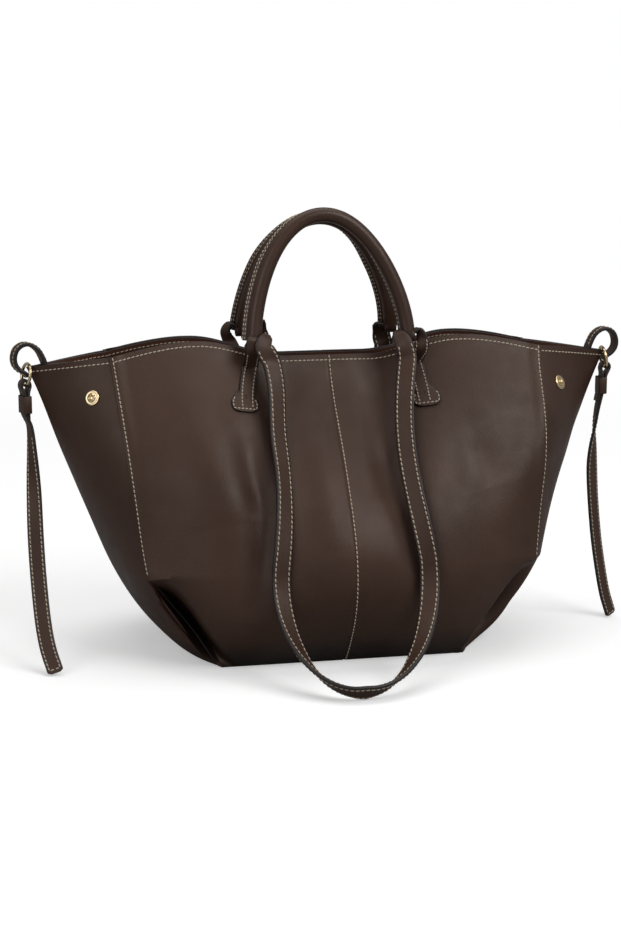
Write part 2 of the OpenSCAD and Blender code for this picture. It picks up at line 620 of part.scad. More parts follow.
keeper(-1, left_ring_yaw);  // left_tie_keeper
keeper(1, right_ring_yaw);  // right_tie_keeper
snap_sockets();
snap_studs();
snap_caps();
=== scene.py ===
import bpy
import numpy as np
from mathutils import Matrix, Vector, noise


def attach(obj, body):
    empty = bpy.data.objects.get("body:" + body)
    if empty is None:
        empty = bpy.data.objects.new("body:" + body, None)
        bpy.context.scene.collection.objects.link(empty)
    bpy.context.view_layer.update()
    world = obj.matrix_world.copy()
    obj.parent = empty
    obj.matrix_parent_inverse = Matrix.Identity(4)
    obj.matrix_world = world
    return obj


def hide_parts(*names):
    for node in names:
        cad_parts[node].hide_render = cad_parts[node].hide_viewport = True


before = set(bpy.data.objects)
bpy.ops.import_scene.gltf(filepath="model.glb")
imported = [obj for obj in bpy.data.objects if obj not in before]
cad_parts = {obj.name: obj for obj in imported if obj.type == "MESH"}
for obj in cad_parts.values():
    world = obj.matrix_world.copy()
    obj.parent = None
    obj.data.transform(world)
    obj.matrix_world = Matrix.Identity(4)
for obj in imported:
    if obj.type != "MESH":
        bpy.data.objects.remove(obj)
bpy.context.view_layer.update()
MM = 0.001

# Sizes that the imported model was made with
RIM_W, RIM_MID_Z, RIM_HUMP_Z, RIM_TIP_Z, RIM_MID_Y = 490, 241.5, 256, 236, 14
SEAM_TOP_X, SEAM_TOP_Y = 178, 25
SEAM_END_X, SEAM_END_Y, SEAM_END_Z = 158, 84, 78
BELLY, WING_BELLY, TUCK_DEPTH = 64, 37, 24
BASE_W, BASE_D = 200, 156
LEATHER_T, LINING_T = 1.6, 0.9
FACING_T = 1.2
ROOT_X, ROOT_Y, ROOT_Z = 64, 30, 258
HANDLE_RISE, HANDLE_R, HANDLE_SWAY, HANDLE_RAKE, NECK_L = 99, 6, 3.5, 6, 8
FRONT_LEAN, BACK_LEAN = 10, 17
STRAP_W, STRAP_T, STRAP_REACH = 16, 3, 186
FOOT_Z = 202
TIE_W, TIE_T = 13, 2.2
RING_MID_R, RING_WIRE, RING_LEAN, RING_IN, RING_DOWN = 8.65, 2.7, 10, 0.5, 5.5
LEFT_RING_YAW, RIGHT_RING_YAW = 18, -3
SNAP_ACROSS, SNAP_UP = 0.31, 0.885

# Sizes of the looks alone
LAYER_GAP = 0.15
STITCH_PITCH, SHORT_PITCH, SIDE_INSET = 3.6, 3.2, 2.3
# How far the painted shade in creases and recesses reaches, in millimetres
PAINTED_SHADE_REACH = 35
LINING_DEPTH = LEATHER_T + LAYER_GAP
FACING_DEPTH = LINING_DEPTH + LINING_T + LAYER_GAP


# Small helpers
def mix(a, b, t):
    return a + (b - a) * t


def smooth(x):
    c = np.clip(x, 0, 1)
    return c * c * (3 - 2 * c)


def bump(h, a, b):
    top = a / (a + b)
    h = np.clip(h, 0, 1)
    return (h / top) ** a * ((1 - h) / (1 - top)) ** b


def bezier(p0, p1, p2, p3, s):
    return p0 * (1 - s) ** 3 + 3 * p1 * s * (1 - s) ** 2 + 3 * p2 * s * s * (1 - s) + p3 * s ** 3


def unit(v):
    return v / np.maximum(np.linalg.norm(v, axis=-1, keepdims=True), 1e-9)


def sin_deg(a):
    return np.sin(np.radians(a))


def cos_deg(a):
    return np.cos(np.radians(a))


def corner_cut(share):
    """How deep a round corner cuts in, both that and its place given as shares of the corner's radius."""
    return 1 - np.sqrt(1 - (1 - np.clip(share, 0, 1)) ** 2)


def run_along(points):
    """Distance from the first point, along the first axis of a path or a grid."""
    steps = np.linalg.norm(np.diff(points, axis=0), axis=-1)
    return np.concatenate([np.zeros_like(steps[:1]), np.cumsum(steps, axis=0)])


def pick(values, run, at):
    """The points or directions at one or more places of a run."""
    return np.stack([np.interp(at, run, values[:, k]) for k in range(3)], -1)


def spline(points, step):
    """A smooth curve through the points, sampled about every step millimetres, with each sample's place
    in the list of points."""
    p = np.asarray(points, float)
    p = np.vstack([2 * p[0] - p[1], p, 2 * p[-1] - p[-2]])
    curve, place = [], []
    for i in range(1, len(p) - 2):
        count = max(2, int(np.ceil(np.linalg.norm((p[i + 1] - p[i])[:3]) / step)))
        t = (np.arange(count) / count)[:, None]
        a, b, c, d = p[i - 1], p[i], p[i + 1], p[i + 2]
        curve.append(0.5 * (2 * b + (c - a) * t + (2 * a - 5 * b + 4 * c - d) * t * t
                            + (3 * b - a - 3 * c + d) * t ** 3))
        place.append(i - 1 + t[:, 0])
    return np.vstack(curve + [p[-2:-1]]), np.concatenate(place + [[len(p) - 3]])


# Meshes
def add_object(name, data):
    obj = bpy.data.objects.new(name, data)
    bpy.context.scene.collection.objects.link(obj)
    return obj


def add_mesh(name, points, faces, materials, face_material=None, body="bag", sharp=38):
    """A mesh that rides on a body. Edges that turn by more than the sharp angle stay crisp."""
    mesh = bpy.data.meshes.new(name)
    mesh.from_pydata((points * MM).tolist(), [], faces)
    for m in materials:
        mesh.materials.append(m)
    if face_material is not None:
        mesh.polygons.foreach_set("material_index", np.asarray(face_material, np.int32))
    mesh.shade_smooth()
    mesh.set_sharp_from_angle(angle=np.radians(sharp))
    mesh.validate()
    mesh.update()
    obj = add_object(name, mesh)
    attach(obj, body)
    return obj


def sheet(name, outer, inner, materials, body="bag", edge_bulge=0.35):
    """A closed sheet between two grids of points. The three materials are for its face, its edge and its
    back, and its edge is rounded."""
    rows, cols = outer.shape[:2]
    middle = (outer + inner) / 2
    away = np.zeros_like(middle)
    away[0] += unit(middle[0] - middle[1])
    away[-1] += unit(middle[-1] - middle[-2])
    away[:, 0] += unit(middle[:, 0] - middle[:, 1])
    away[:, -1] += unit(middle[:, -1] - middle[:, -2])
    middle = middle + away * edge_bulge
    step = rows * cols
    index = np.arange(step).reshape(rows, cols)
    a, b, c, d = index[:-1, :-1], index[:-1, 1:], index[1:, 1:], index[1:, :-1]
    face = np.stack([a, b, c, d], -1).reshape(-1, 4)
    back = np.stack([a, d, c, b], -1).reshape(-1, 4) + 2 * step
    loop = np.concatenate([index[0, :-1], index[:-1, -1], index[-1, :0:-1], index[:0:-1, 0]])
    after = np.roll(loop, -1)
    edge = np.stack([after, loop, loop + step, after + step], -1)
    points = np.concatenate([outer.reshape(-1, 3), middle.reshape(-1, 3), inner.reshape(-1, 3)])
    faces = np.concatenate([face, edge, edge + step, back])
    kinds = [0] * len(face) + [1] * (2 * len(loop)) + [2] * len(back)
    used = np.unique(faces)
    lookup = np.full(len(points), -1)
    lookup[used] = np.arange(len(used))
    return add_mesh(name, points[used], lookup[faces].tolist(), materials, kinds, body)


def ring_faces(rings):
    """Four-sided faces between rings of point numbers, each ring closed round."""
    after = np.roll(rings, -1, axis=1)
    return np.stack([rings[:-1], after[:-1], after[1:], rings[1:]], -1).reshape(-1, 4)


def loft(name, sections, materials, side_material, body, closed=False, capped=True, sharp=48):
    """A skin carried through the sections, with flat caps unless it is closed into a loop."""
    sections = np.asarray(sections, float)
    count, sides = sections.shape[:2]
    rings = np.arange(count * sides).reshape(count, sides)
    faces = ring_faces(np.vstack([rings, rings[:1]]) if closed else rings).tolist()
    kinds = list(np.tile(side_material, len(faces) // sides))
    if capped and not closed:
        faces += [rings[0][::-1].tolist(), rings[-1].tolist()]
        kinds += [1, 1]
    return add_mesh(name, sections.reshape(-1, 3), faces, materials, kinds, body, sharp)


def frames_along(path, across):
    """Width and face directions at each point of a path."""
    travel = unit(np.gradient(path, axis=0))
    wide = unit(across - travel * np.sum(across * travel, -1, keepdims=True))
    return wide, np.cross(travel, wide)


def band_profile():
    """Corners of a strap's section as shares of its half width and half thickness, with the faces of its
    two long sides marked 0 and those of its edges 1."""
    flat = np.linspace(-0.86, 0.86, 5)
    upper = [(s, 1) for s in flat[::-1]]
    lower = [(s, -1) for s in flat]
    left = [(-0.955, 0.8), (-1, 0.3), (-1, -0.3), (-0.955, -0.8)]
    right = [(0.955, -0.8), (1, -0.3), (1, 0.3), (0.955, 0.8)]
    shape = np.array(upper + left + lower + right)
    kinds = [0] * 4 + [1] * 5 + [0] * 4 + [1] * 5
    return shape, kinds


def band(name, path, across, width, thick, materials, body, squareness=None):
    """A strap along a path. Squareness 1 is a flat strap and 0 a round cord of the same size."""
    wide, up = frames_along(path, across)
    shape, kinds = band_profile()
    angle = np.arctan2(shape[:, 1], shape[:, 0])
    round_shape = np.stack([np.cos(angle), np.sin(angle)], -1)
    square = np.ones(len(path)) if squareness is None else squareness
    s = mix(round_shape[None], shape[None], square[:, None, None])
    w = (np.broadcast_to(width, len(path)) / 2)[:, None, None]
    t = (np.broadcast_to(thick, len(path)) / 2)[:, None, None]
    sections = path[:, None] + wide[:, None] * s[..., :1] * w + up[:, None] * s[..., 1:] * t
    return loft(name, sections, materials, kinds, body)


# Stitches
def resample(points, normals, pitch):
    """Evenly spaced places along a line, with their directions of travel and normals."""
    run = run_along(points)
    count = max(1, int(run[-1] / pitch))
    at = (np.arange(count) + 0.5) * run[-1] / count
    look = 0.6
    ahead = pick(points, run, np.minimum(at + look, run[-1])) - pick(points, run, np.maximum(at - look, 0))
    return pick(points, run, at), unit(ahead), unit(pick(normals, run, at))


def stitch_shape(length, width, lift):
    """One stitch: a short thread that dips into the leather at both ends."""
    rings = [(-0.5, 0.35, -0.35), (-0.38, 0.85, 0.45), (0, 1, 0.9), (0.38, 0.85, 0.45), (0.5, 0.35, -0.35)]
    sides = 6
    angle = 2 * np.pi * np.arange(sides) / sides
    points = [np.stack([np.full(sides, along * length), np.cos(angle) * width / 2 * size,
                        np.sin(angle) * width / 3 * size + rise * lift], -1) for along, size, rise in rings]
    faces = ring_faces(np.arange(len(rings) * sides).reshape(-1, sides))
    return np.concatenate(points), faces[:, [0, 3, 2, 1]]


def stitches(name, lines, body, pitch=STITCH_PITCH, length=2.75, width=0.95, lift=0.3):
    """Rows of stitches along lines of (points, normals), in one piece."""
    shape, shape_faces = stitch_shape(length, width, lift)
    points, faces = [], []
    total = 0
    for line, normal in lines:
        place, along, up = resample(line, normal, pitch)
        up = unit(up - along * np.sum(up * along, -1, keepdims=True))
        side = np.cross(up, along)
        skew = 0.12
        along_s, side_s = unit(along + skew * side), unit(side - skew * along)
        p = (place[:, None] + along_s[:, None] * shape[None, :, :1] + side_s[:, None] * shape[None, :, 1:2]
             + up[:, None] * shape[None, :, 2:])
        points.append(p.reshape(-1, 3))
        offsets = total + np.arange(len(place)) * len(shape)
        faces.append((shape_faces[None] + offsets[:, None, None]).reshape(-1, 4))
        total += len(place) * len(shape)
    points, faces = np.concatenate(points), np.concatenate(faces).tolist()
    obj = add_mesh(name, points, faces, [THREAD], None, body, sharp=80)
    return obj


def both_faces(path, wide, up, offset, thick, keep):
    """Lines along a strap on both its faces, at an offset to both sides of its middle."""
    half_thick = (np.broadcast_to(thick, len(path)) / 2)[:, None]
    lines = []
    for side in (-1, 1):
        for face in (-1, 1):
            line = path + wide * (side * offset)[:, None] + up * face * half_thick
            lines.append((line[keep], (up * face)[keep]))
    return lines


def inset_line(points, normals, edge, distance, trim=(0, 0)):
    """The line at a distance inside one edge of a grid: top, bottom, left or right."""
    order = {"top": lambda g: g[::-1], "bottom": lambda g: g,
             "left": lambda g: g.swapaxes(0, 1), "right": lambda g: g.swapaxes(0, 1)[::-1]}[edge]
    run = run_along(order(points))
    kept = range(trim[0], run.shape[1] - trim[1])
    return [np.array([pick(grid[:, j], run[:, j], distance) for j in kept])
            for grid in (order(points), order(normals))]


# Materials
def set_inputs(tree, node, values):
    """Give each input of a node its value, or link it from another node's output."""
    for name, value in values.items():
        if isinstance(value, bpy.types.NodeSocket):
            tree.links.new(value, node.inputs[name])
        else:
            node.inputs[name].default_value = value


def add_node(tree, kind, values, **settings):
    """A new shader node. Its settings come before its inputs, because they can change which it has."""
    node = tree.nodes.new("ShaderNode" + kind)
    for name, value in settings.items():
        setattr(node, name, value)
    set_inputs(tree, node, values)
    return node


def new_material(name):
    """A material with its nodes, its main shader and the object's own coordinates."""
    m = bpy.data.materials.new(name)
    m.use_nodes = True
    tree = m.node_tree
    return m, tree, tree.nodes["Principled BSDF"], add_node(tree, "TexCoord", {}).outputs["Object"]


def noise_node(tree, coords, scale, detail=3, rough=0.5):
    values = {"Vector": coords, "Scale": scale, "Detail": detail, "Roughness": rough}
    return add_node(tree, "TexNoise", values).outputs["Fac"]


def two_tones(tree, factor, dark, light, light_from=0.7):
    """A colour that runs from dark to light with a noise, most of which lies between 0.3 and 0.7."""
    node = add_node(tree, "ValToRGB", {"Fac": factor})
    ends = node.color_ramp.elements
    ends[0].position, ends[0].color = 0.3, (*dark, 1)
    ends[1].position, ends[1].color = light_from, (*light, 1)
    return node.outputs["Color"]


def spread(tree, factor, low, high):
    """The same noise stretched to the range from low to high."""
    values = {"Value": factor, "From Min": 0.3, "From Max": 0.7, "To Min": low, "To Max": high}
    return add_node(tree, "MapRange", values).outputs["Result"]


def add_bump(tree, shader, heights):
    """Chains bumps of (height, strength, distance in metres) into the shader's normal."""
    normal = {}
    for height, strength, distance in heights:
        values = {"Height": height, "Strength": strength, "Distance": distance, **normal}
        normal = {"Normal": add_node(tree, "Bump", values).outputs["Normal"]}
    set_inputs(tree, shader, normal)


def painted_hollow_shade(tree, colour):
    """Painted shade: the colour darkened by ambient occlusion in creases, recesses and where pieces meet."""
    near = add_node(tree, "AmbientOcclusion", {"Distance": PAINTED_SHADE_REACH * MM}, samples=8)
    values = {"Value": near.outputs["AO"], "From Min": 0.15, "From Max": 0.75, "To Min": 0.12}
    level = add_node(tree, "MapRange", values).outputs["Result"]
    values = {"Factor": 1, "A": colour, "B": level}
    return add_node(tree, "Mix", values, data_type="RGBA", blend_type="MULTIPLY").outputs["Result"]


def leather(name, dark, light, rough=(0.4, 0.52), grain=0.25, coat=0.04, with_painted_shade=True):
    """Smooth leather: a slow change of tone, fine pores and a soft gloss, with painted shade in its creases
    and recesses unless that is turned off.
    """
    m, tree, shader, coords = new_material(name)
    tone = two_tones(tree, noise_node(tree, coords, 14, 4, 0.55), dark, light, 0.72)
    pores = add_node(tree, "TexVoronoi", {"Vector": coords, "Scale": 1300}).outputs["Distance"]
    creases = noise_node(tree, coords, 420, 5, 0.6)
    add_bump(tree, shader, [(pores, grain, 0.00025), (creases, grain, 0.0004)])
    set_inputs(tree, shader, {
        # The base colour carries painted shade from ambient occlusion
        "Base Color": painted_hollow_shade(tree, tone) if with_painted_shade else tone,
        "Roughness": spread(tree, noise_node(tree, coords, 60, 4), *rough),
        "Specular Tint": (1, 0.88, 0.8, 1),
        "Specular IOR Level": 0.32,
        "Coat Weight": coat,
        "Coat Roughness": 0.32,
    })
    return m


def cloth(name, dark, light):
    """Closely woven lining with a faint weave."""
    m, tree, shader, coords = new_material(name)
    tone = two_tones(tree, noise_node(tree, coords, 25), dark, light)
    weave = {"Vector": coords, "Scale": 420, "Distortion": 0.6}
    threads = [add_node(tree, "TexWave", weave, bands_direction=way).outputs["Fac"] for way in ("X", "Z")]
    add_bump(tree, shader, [(thread, 0.25, 0.0002) for thread in threads])
    set_inputs(tree, shader, {"Base Color": tone, "Roughness": 0.82, "Sheen Weight": 0.15})
    return m


def metal(name, colour, rough=(0.16, 0.26)):
    """Polished metal with a faint haze."""
    m, tree, shader, coords = new_material(name)
    haze = noise_node(tree, coords, 300, 4)
    tone = two_tones(tree, haze, [c * 0.9 for c in colour], colour)
    gloss = spread(tree, haze, *rough)
    set_inputs(tree, shader, {"Base Color": tone, "Roughness": gloss, "Metallic": 1})
    return m


def plain(name, dark, light, rough, scale=200, relief=0.2):
    """Thread, edge paint, board and rope: two close tones and a fine relief."""
    m, tree, shader, coords = new_material(name)
    tone = two_tones(tree, noise_node(tree, coords, scale, 4), dark, light)
    add_bump(tree, shader, [(noise_node(tree, coords, scale * 6), relief, 0.0002)])
    set_inputs(tree, shader, {"Base Color": tone, "Roughness": rough})
    return m


DARK_BROWN, LIGHT_BROWN = (0.042, 0.0205, 0.0135), (0.062, 0.032, 0.022)
# All leathers but the strap leather and the facing carry painted shade in their creases and recesses
LEATHER = leather("leather_smooth", DARK_BROWN, LIGHT_BROWN)
STRAP_LEATHER = leather("leather_strap", (0.044, 0.0225, 0.0155), (0.064, 0.034, 0.024),
                        grain=0.3, with_painted_shade=False)
HANDLE_LEATHER = leather("leather_handle", DARK_BROWN, LIGHT_BROWN, (0.32, 0.42), 0.2, 0.12)
FLESH = leather("leather_flesh_side", (0.030, 0.015, 0.010), (0.045, 0.022, 0.015), (0.7, 0.85), 0.4, 0)
FACING = leather("leather_facing", (0.080, 0.032, 0.021), (0.110, 0.046, 0.030), (0.5, 0.62), 0.25, 0, False)
EDGE = plain("edge_paint", (0.010, 0.006, 0.005), (0.017, 0.010, 0.008), 0.45, 150, 0.15)
LINING = cloth("lining_cloth", (0.060, 0.020, 0.014), (0.085, 0.030, 0.021))
THREAD = plain("cream_thread", (0.42, 0.35, 0.26), (0.60, 0.52, 0.41), 0.7, 900, 0.5)
GOLD = metal("pale_gold", (0.88, 0.69, 0.42))
GOLD_WORN = metal("pale_gold_worn", (0.55, 0.40, 0.21), (0.3, 0.45))
BOARD = plain("pressed_board", (0.34, 0.24, 0.14), (0.46, 0.34, 0.21), 0.85)
ROPE = plain("rope_core", (0.50, 0.42, 0.30), (0.62, 0.54, 0.40), 0.9, 400, 0.6)
SMOOTH = [LEATHER, EDGE, FLESH]
STRAP = [STRAP_LEATHER, EDGE]

# The wall's surface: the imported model's on a finer grid, with crisper and slightly deeper corner tucks
HUMP_X = mix(RIM_MID_Y, SEAM_TOP_X, 0.62)
SEAM_TOP_Z = mix(RIM_TIP_Z, RIM_HUMP_Z, 0.475)
TUCK_SHARE = SEAM_END_Z / SEAM_TOP_Z
WING_RIDGE, PANEL_RIDGE, LEAST_RIDGE = 6, 22, 4
SOFT_REACH = 32
VISIBLE_TUCK_DEPTH = 1.1 * TUCK_DEPTH
TUCK_WAY = -0.3 - 0.95j
RIM_FLAT_HALF, RIM_RISE_CUT = 34, 40


def rim_height(x):
    rise = mix(RIM_MID_Z, RIM_HUMP_Z, smooth((x - RIM_FLAT_HALF) / (HUMP_X - RIM_RISE_CUT)))
    fall = mix(RIM_HUMP_Z, SEAM_TOP_Z, np.clip((x - HUMP_X) / (SEAM_TOP_X - HUMP_X), 0, 1) ** 1.6)
    tail = mix(SEAM_TOP_Z, RIM_TIP_Z, np.clip((x - SEAM_TOP_X) / (RIM_W / 2 - SEAM_TOP_X), 0, 1) ** 1.15)
    return np.where(x <= HUMP_X, rise, np.where(x <= SEAM_TOP_X, fall, tail))


# Guide lines of a quarter of the wall at the height share h: x, plus 1j times the distance from the middle
def middle_line(h):
    return 1j * (mix(BASE_D / 2, RIM_MID_Y, h) + BELLY * bump(h, 1.08, 1.77))


def tip_line(h):
    return mix(BASE_W / 2, RIM_W / 2, h) + WING_BELLY * bump(h, 0.35, 1.4) + 0j


def upper_seam(h):
    k = np.clip((h - TUCK_SHARE) / (1 - TUCK_SHARE), 0, 1)
    y = mix(SEAM_END_Y, SEAM_TOP_Y, k) + 10 * bump(k, 2, 1.64)
    return mix(SEAM_END_X, SEAM_TOP_X, k ** 0.9) + 1j * y


def whole_seam(h, bow_x, bow_y, power):
    """The seam's line above the tuck, and below it a line bowed outwards from the base to the seam's end."""
    k = np.clip(h / TUCK_SHARE, 0, 1)
    bow = np.sin(np.pi * k)
    x = mix(BASE_W / 2, SEAM_END_X, k ** power) + bow_x * bow
    y = mix(BASE_D / 2, SEAM_END_Y, k) + bow_y * bow
    return np.where(h >= TUCK_SHARE, upper_seam(h), x + 1j * y)


def seam_line(h):
    """Where panel and wing meet, before the tuck pushes them inwards."""
    return whole_seam(h, 3, 2, 1)


def corner_line(h):
    """The fuller corner that panel and wing curve towards."""
    return whole_seam(h, 0, 9, 0.45)


def tuck_push(distance, h, sharp_reach):
    """The tuck pushes both sides of a corner inwards, one sharply within its reach and one in a soft roll."""
    arch = np.abs(np.sin(np.pi * np.clip(h / TUCK_SHARE, 0, 1)))
    deep = VISIBLE_TUCK_DEPTH * arch ** 0.85
    if sharp_reach:
        fade = 1 - np.clip(distance / mix(LEAST_RIDGE, sharp_reach, arch ** 0.7), 0, 1)
    else:
        fade = 1 - smooth(distance / SOFT_REACH)
    return TUCK_WAY * deep * fade


def panel_place(u, h, sharp):
    c, s = middle_line(h), corner_line(h)
    off, far = seam_line(h) - s, np.abs(s - c)
    a = np.radians(32 * bump(h, 0.5, 1.3) - 5 * h)
    curve = bezier(c, c + far * 0.4, s + far * 0.3 * (-np.cos(a) + 1j * np.sin(a)), s, u)
    return curve + off * u ** 4 + tuck_push((1 - u) * far, h, sharp)


def wing_place(v, h, sharp):
    s, t = corner_line(h), tip_line(h)
    off, far = seam_line(h) - s, np.abs(s - t)
    a = np.radians(mix(90, 15, h ** 0.6))
    b = np.radians(mix(90, 25, smooth((h - 0.6) / 0.4)))
    curve = bezier(s, s + far * 0.33 * np.exp(-1j * a), t + far * 0.28 * (-np.cos(b) + 1j * np.sin(b)), t, v)
    fall = mix(9, 3, smooth(h / TUCK_SHARE * 2))
    return curve + off * (1 - v) ** fall + tuck_push(v * far, h, sharp)


def quarter(c, h, sharp_wing):
    """Points of the front right quarter: c runs from 0 at the middle over 1 at the seam to 2 at the tip."""
    u, v = np.clip(c, 0, 1), np.clip(c - 1, 0, 1)

    def place(height):
        panel = panel_place(u, height, 0 if sharp_wing else PANEL_RIDGE)
        return np.where(c <= 1, panel, wing_place(v, height, WING_RIDGE if sharp_wing else 0))

    p = place(h)
    top = place(np.ones_like(h))
    return np.stack([p.real, -p.imag, h * rim_height(top.real)], -1)


PANEL_COLS, WING_COLS, TUCK_ROWS, WALL_ROWS = 56, 44, 36, 64
HEIGHTS = np.concatenate([TUCK_SHARE * (np.arange(TUCK_ROWS) / TUCK_ROWS) ** 1.2,
                          mix(TUCK_SHARE, 1, np.arange(WALL_ROWS + 1) / WALL_ROWS)])
PANEL_SHARE = np.arange(PANEL_COLS + 1) / PANEL_COLS
ACROSS = np.concatenate([0.2 * PANEL_SHARE + 0.4 * (1 - np.cos(np.pi * PANEL_SHARE)),
                         1 + (np.arange(1, WING_COLS + 1) / WING_COLS) ** 1.5])
(LEFT_TIP, FRONT_LEFT_SEAM, FRONT_MIDDLE, FRONT_RIGHT_SEAM, RIGHT_TIP,
 BACK_RIGHT_SEAM, BACK_MIDDLE, BACK_LEFT_SEAM, ROUND) = np.cumsum(
    [0, WING_COLS, PANEL_COLS, PANEL_COLS, WING_COLS, WING_COLS, PANEL_COLS, PANEL_COLS, WING_COLS]).tolist()


def bare_wall():
    """The whole wall as one grid of rows, from the left tip round the front and back again."""
    c, h = np.meshgrid(ACROSS, HEIGHTS)
    soft, crisp = quarter(c, h, False), quarter(c, h, True)
    front_left = (crisp * [-1, 1, 1])[:, ::-1]
    front_right = soft[:, 1:]
    back_right = (crisp * [1, -1, 1])[:, -2::-1]
    back_left = (soft * [-1, -1, 1])[:, 1:-1]
    return np.concatenate([front_left, front_right, back_right, back_left], axis=1)


def grid_normals(p):
    """Outward normals of the whole wall's grid, which closes round on itself."""
    sideways = np.roll(p, -1, axis=1) - np.roll(p, 1, axis=1)
    upwards = np.gradient(p, axis=0)
    return unit(np.cross(sideways, upwards))


# Folds and dents in the walls: start and end on the wall as x and z, half width, depth
FRONT_FOLDS = [
    ((-76, 180), (-68, 128), 13, -6.5),
    ((-68, 138), (-82, 45), 13, -8),
    ((-118, 212), (-100, 120), 25, 4),
    ((-18, 212), (-14, 100), 14, 3),
    ((42, 225), (34, 135), 15, -6),
    ((40, 158), (60, 62), 12, -7),
    ((104, 186), (112, 140), 20, -4),
    ((185, 205), (128, 100), 20, 4.5),
]
BACK_FOLDS = [
    ((-68, 238), (-60, 120), 18, -5),
    ((68, 238), (62, 110), 18, -5),
    ((0, 180), (4, 90), 30, 3),
]


def fold_relief(x, z, folds):
    """The folds' sum at x and z. Each fold fades sideways, and towards both its ends."""
    total = np.zeros_like(x)
    for (x0, z0), (x1, z1), half, deep in folds:
        run = np.array([x1 - x0, z1 - z0], float)
        long = np.hypot(*run)
        share = np.clip(((x - x0) * run[0] + (z - z0) * run[1]) / long ** 2, 0, 1)
        gap = np.hypot(x - x0 - share * run[0], z - z0 - share * run[1])
        total += deep * np.exp(-(gap / half) ** 2) * np.sin(np.pi * np.clip(share * 0.85 + 0.12, 0, 1)) ** 0.6
    return total


def wall_relief(p):
    """How far each place of the wall stands out from the bare surface."""
    x, y, z = p[..., 0], p[..., 1], p[..., 2]
    front = smooth((-y - 4) / 12)
    back = smooth((y - 4) / 12)
    relief = fold_relief(x, z, FRONT_FOLDS) * front + fold_relief(x, z, BACK_FOLDS) * back
    sag_length, sag_depth = 70, 2.2
    sag = [[noise.noise(Vector(q) / sag_length) for q in row] for row in p.tolist()]
    held = smooth(z / 25) * smooth((RIM_MID_Z - z + 30) / 60)
    return relief + sag_depth * np.array(sag) * held


WALL = bare_wall()
WALL = WALL + grid_normals(WALL) * wall_relief(WALL)[..., None]
WALL[..., 2] = np.maximum(WALL[..., 2], 0)
NORMAL = grid_normals(WALL)
SIDE_GAP = np.minimum(np.arange(ROUND), ROUND - np.arange(ROUND))
SIDE_GAP = np.minimum(SIDE_GAP, np.abs(np.arange(ROUND) - RIGHT_TIP))


def wall_layer(cols, depth, rows=slice(None)):
    """Points at a depth under the outer face, kept on their own side of the middle."""
    cols = np.asarray(cols) % ROUND
    p = WALL[rows][:, cols] - NORMAL[rows][:, cols] * (depth[..., None] if np.ndim(depth) else depth)
    front = ((cols > LEFT_TIP) & (cols < RIGHT_TIP))
    least = 0.03 * SIDE_GAP[cols]
    y = np.where(front, np.minimum(p[..., 1], -least), np.maximum(p[..., 1], least))
    p[..., 1] = np.where(SIDE_GAP[cols] == 0, 0, y)
    p[..., 2] = np.maximum(p[..., 2], 0)
    return p


def edge_distance(p, edge):
    """Distance of each point of a grid from its left or right edge, along its row."""
    run = run_along(p.swapaxes(0, 1)).T
    return run if edge == "left" else run[:, -1:] - run


LAP_COLS, LAP_LIFT, LAP_FLAT, LAP_FADE = 4, 1.1, 4, 9
LAP_CLEAR, LAP_THINNING = 0.12, 6
GROOVE, GROOVE_W = 0.5, 0.9


def wall_piece(name, cols, face_depth, back_depth):
    """A leather piece of the wall between two depths, and its face's points and normals."""
    face = wall_layer(cols, face_depth)
    obj = sheet(name + "_leather", face, wall_layer(cols, back_depth), SMOOTH)
    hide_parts(name)
    return face, NORMAL[:, cols % ROUND]


def build_panel(name, first, last, lapped):
    """A wall panel. One edge lies over the wing beside it, and the other meets its neighbour in a groove."""
    other = "right" if lapped == "left" else "left"
    start, end = (first - LAP_COLS, last) if lapped == "left" else (first, last + LAP_COLS)
    cols = np.arange(start, end + 1)
    bare = wall_layer(cols, 0)
    beyond = edge_distance(bare, lapped) - LAP_FLAT
    groove = GROOVE * np.exp(-(edge_distance(bare, other) / GROOVE_W) ** 2)
    out = LAP_LIFT * (1 - smooth(beyond / LAP_FADE)) - groove
    return wall_piece(name, cols, -out, mix(-LAP_CLEAR, LEATHER_T, smooth(beyond / LAP_THINNING)))


def build_walls():
    """Four panels and two wings, with stitches along their rim and their seams."""
    rim_inset, seam_inset, centre_inset = 4.3, 2.6, 1.5
    rim_rows, seam_rows = [], []
    panels = {
        "front_left_panel": (FRONT_LEFT_SEAM, FRONT_MIDDLE, "left"),
        "front_right_panel": (FRONT_MIDDLE, FRONT_RIGHT_SEAM, "right"),
        "back_right_panel": (BACK_RIGHT_SEAM, BACK_MIDDLE, "left"),
        "back_left_panel": (BACK_MIDDLE, BACK_LEFT_SEAM, "right"),
    }
    for name, (first, last, lapped) in panels.items():
        points, normals = build_panel(name, first, last, lapped)
        ends = (LAP_COLS + 1, 0) if lapped == "left" else (0, LAP_COLS + 1)
        rim_rows.append(inset_line(points, normals, "top", rim_inset, ends))
        seam_rows.append(inset_line(points, normals, lapped, seam_inset, (TUCK_ROWS + 1, 0)))
        if lapped == "right":
            seam_rows.append(inset_line(points, normals, "left", centre_inset, (1, 0)))
    wings = {"left_wing": (BACK_LEFT_SEAM, ROUND + FRONT_LEFT_SEAM),
             "right_wing": (FRONT_RIGHT_SEAM, BACK_RIGHT_SEAM)}
    for name, (first, last) in wings.items():
        points, normals = wall_piece(name, np.arange(first, last + 1), 0, LEATHER_T)
        rim_rows.append(inset_line(points, normals, "top", rim_inset, (LAP_COLS + 1, LAP_COLS + 1)))
    stitches("rim_stitching", rim_rows, "bag")
    stitches("panel_seam_stitching", seam_rows, "bag")


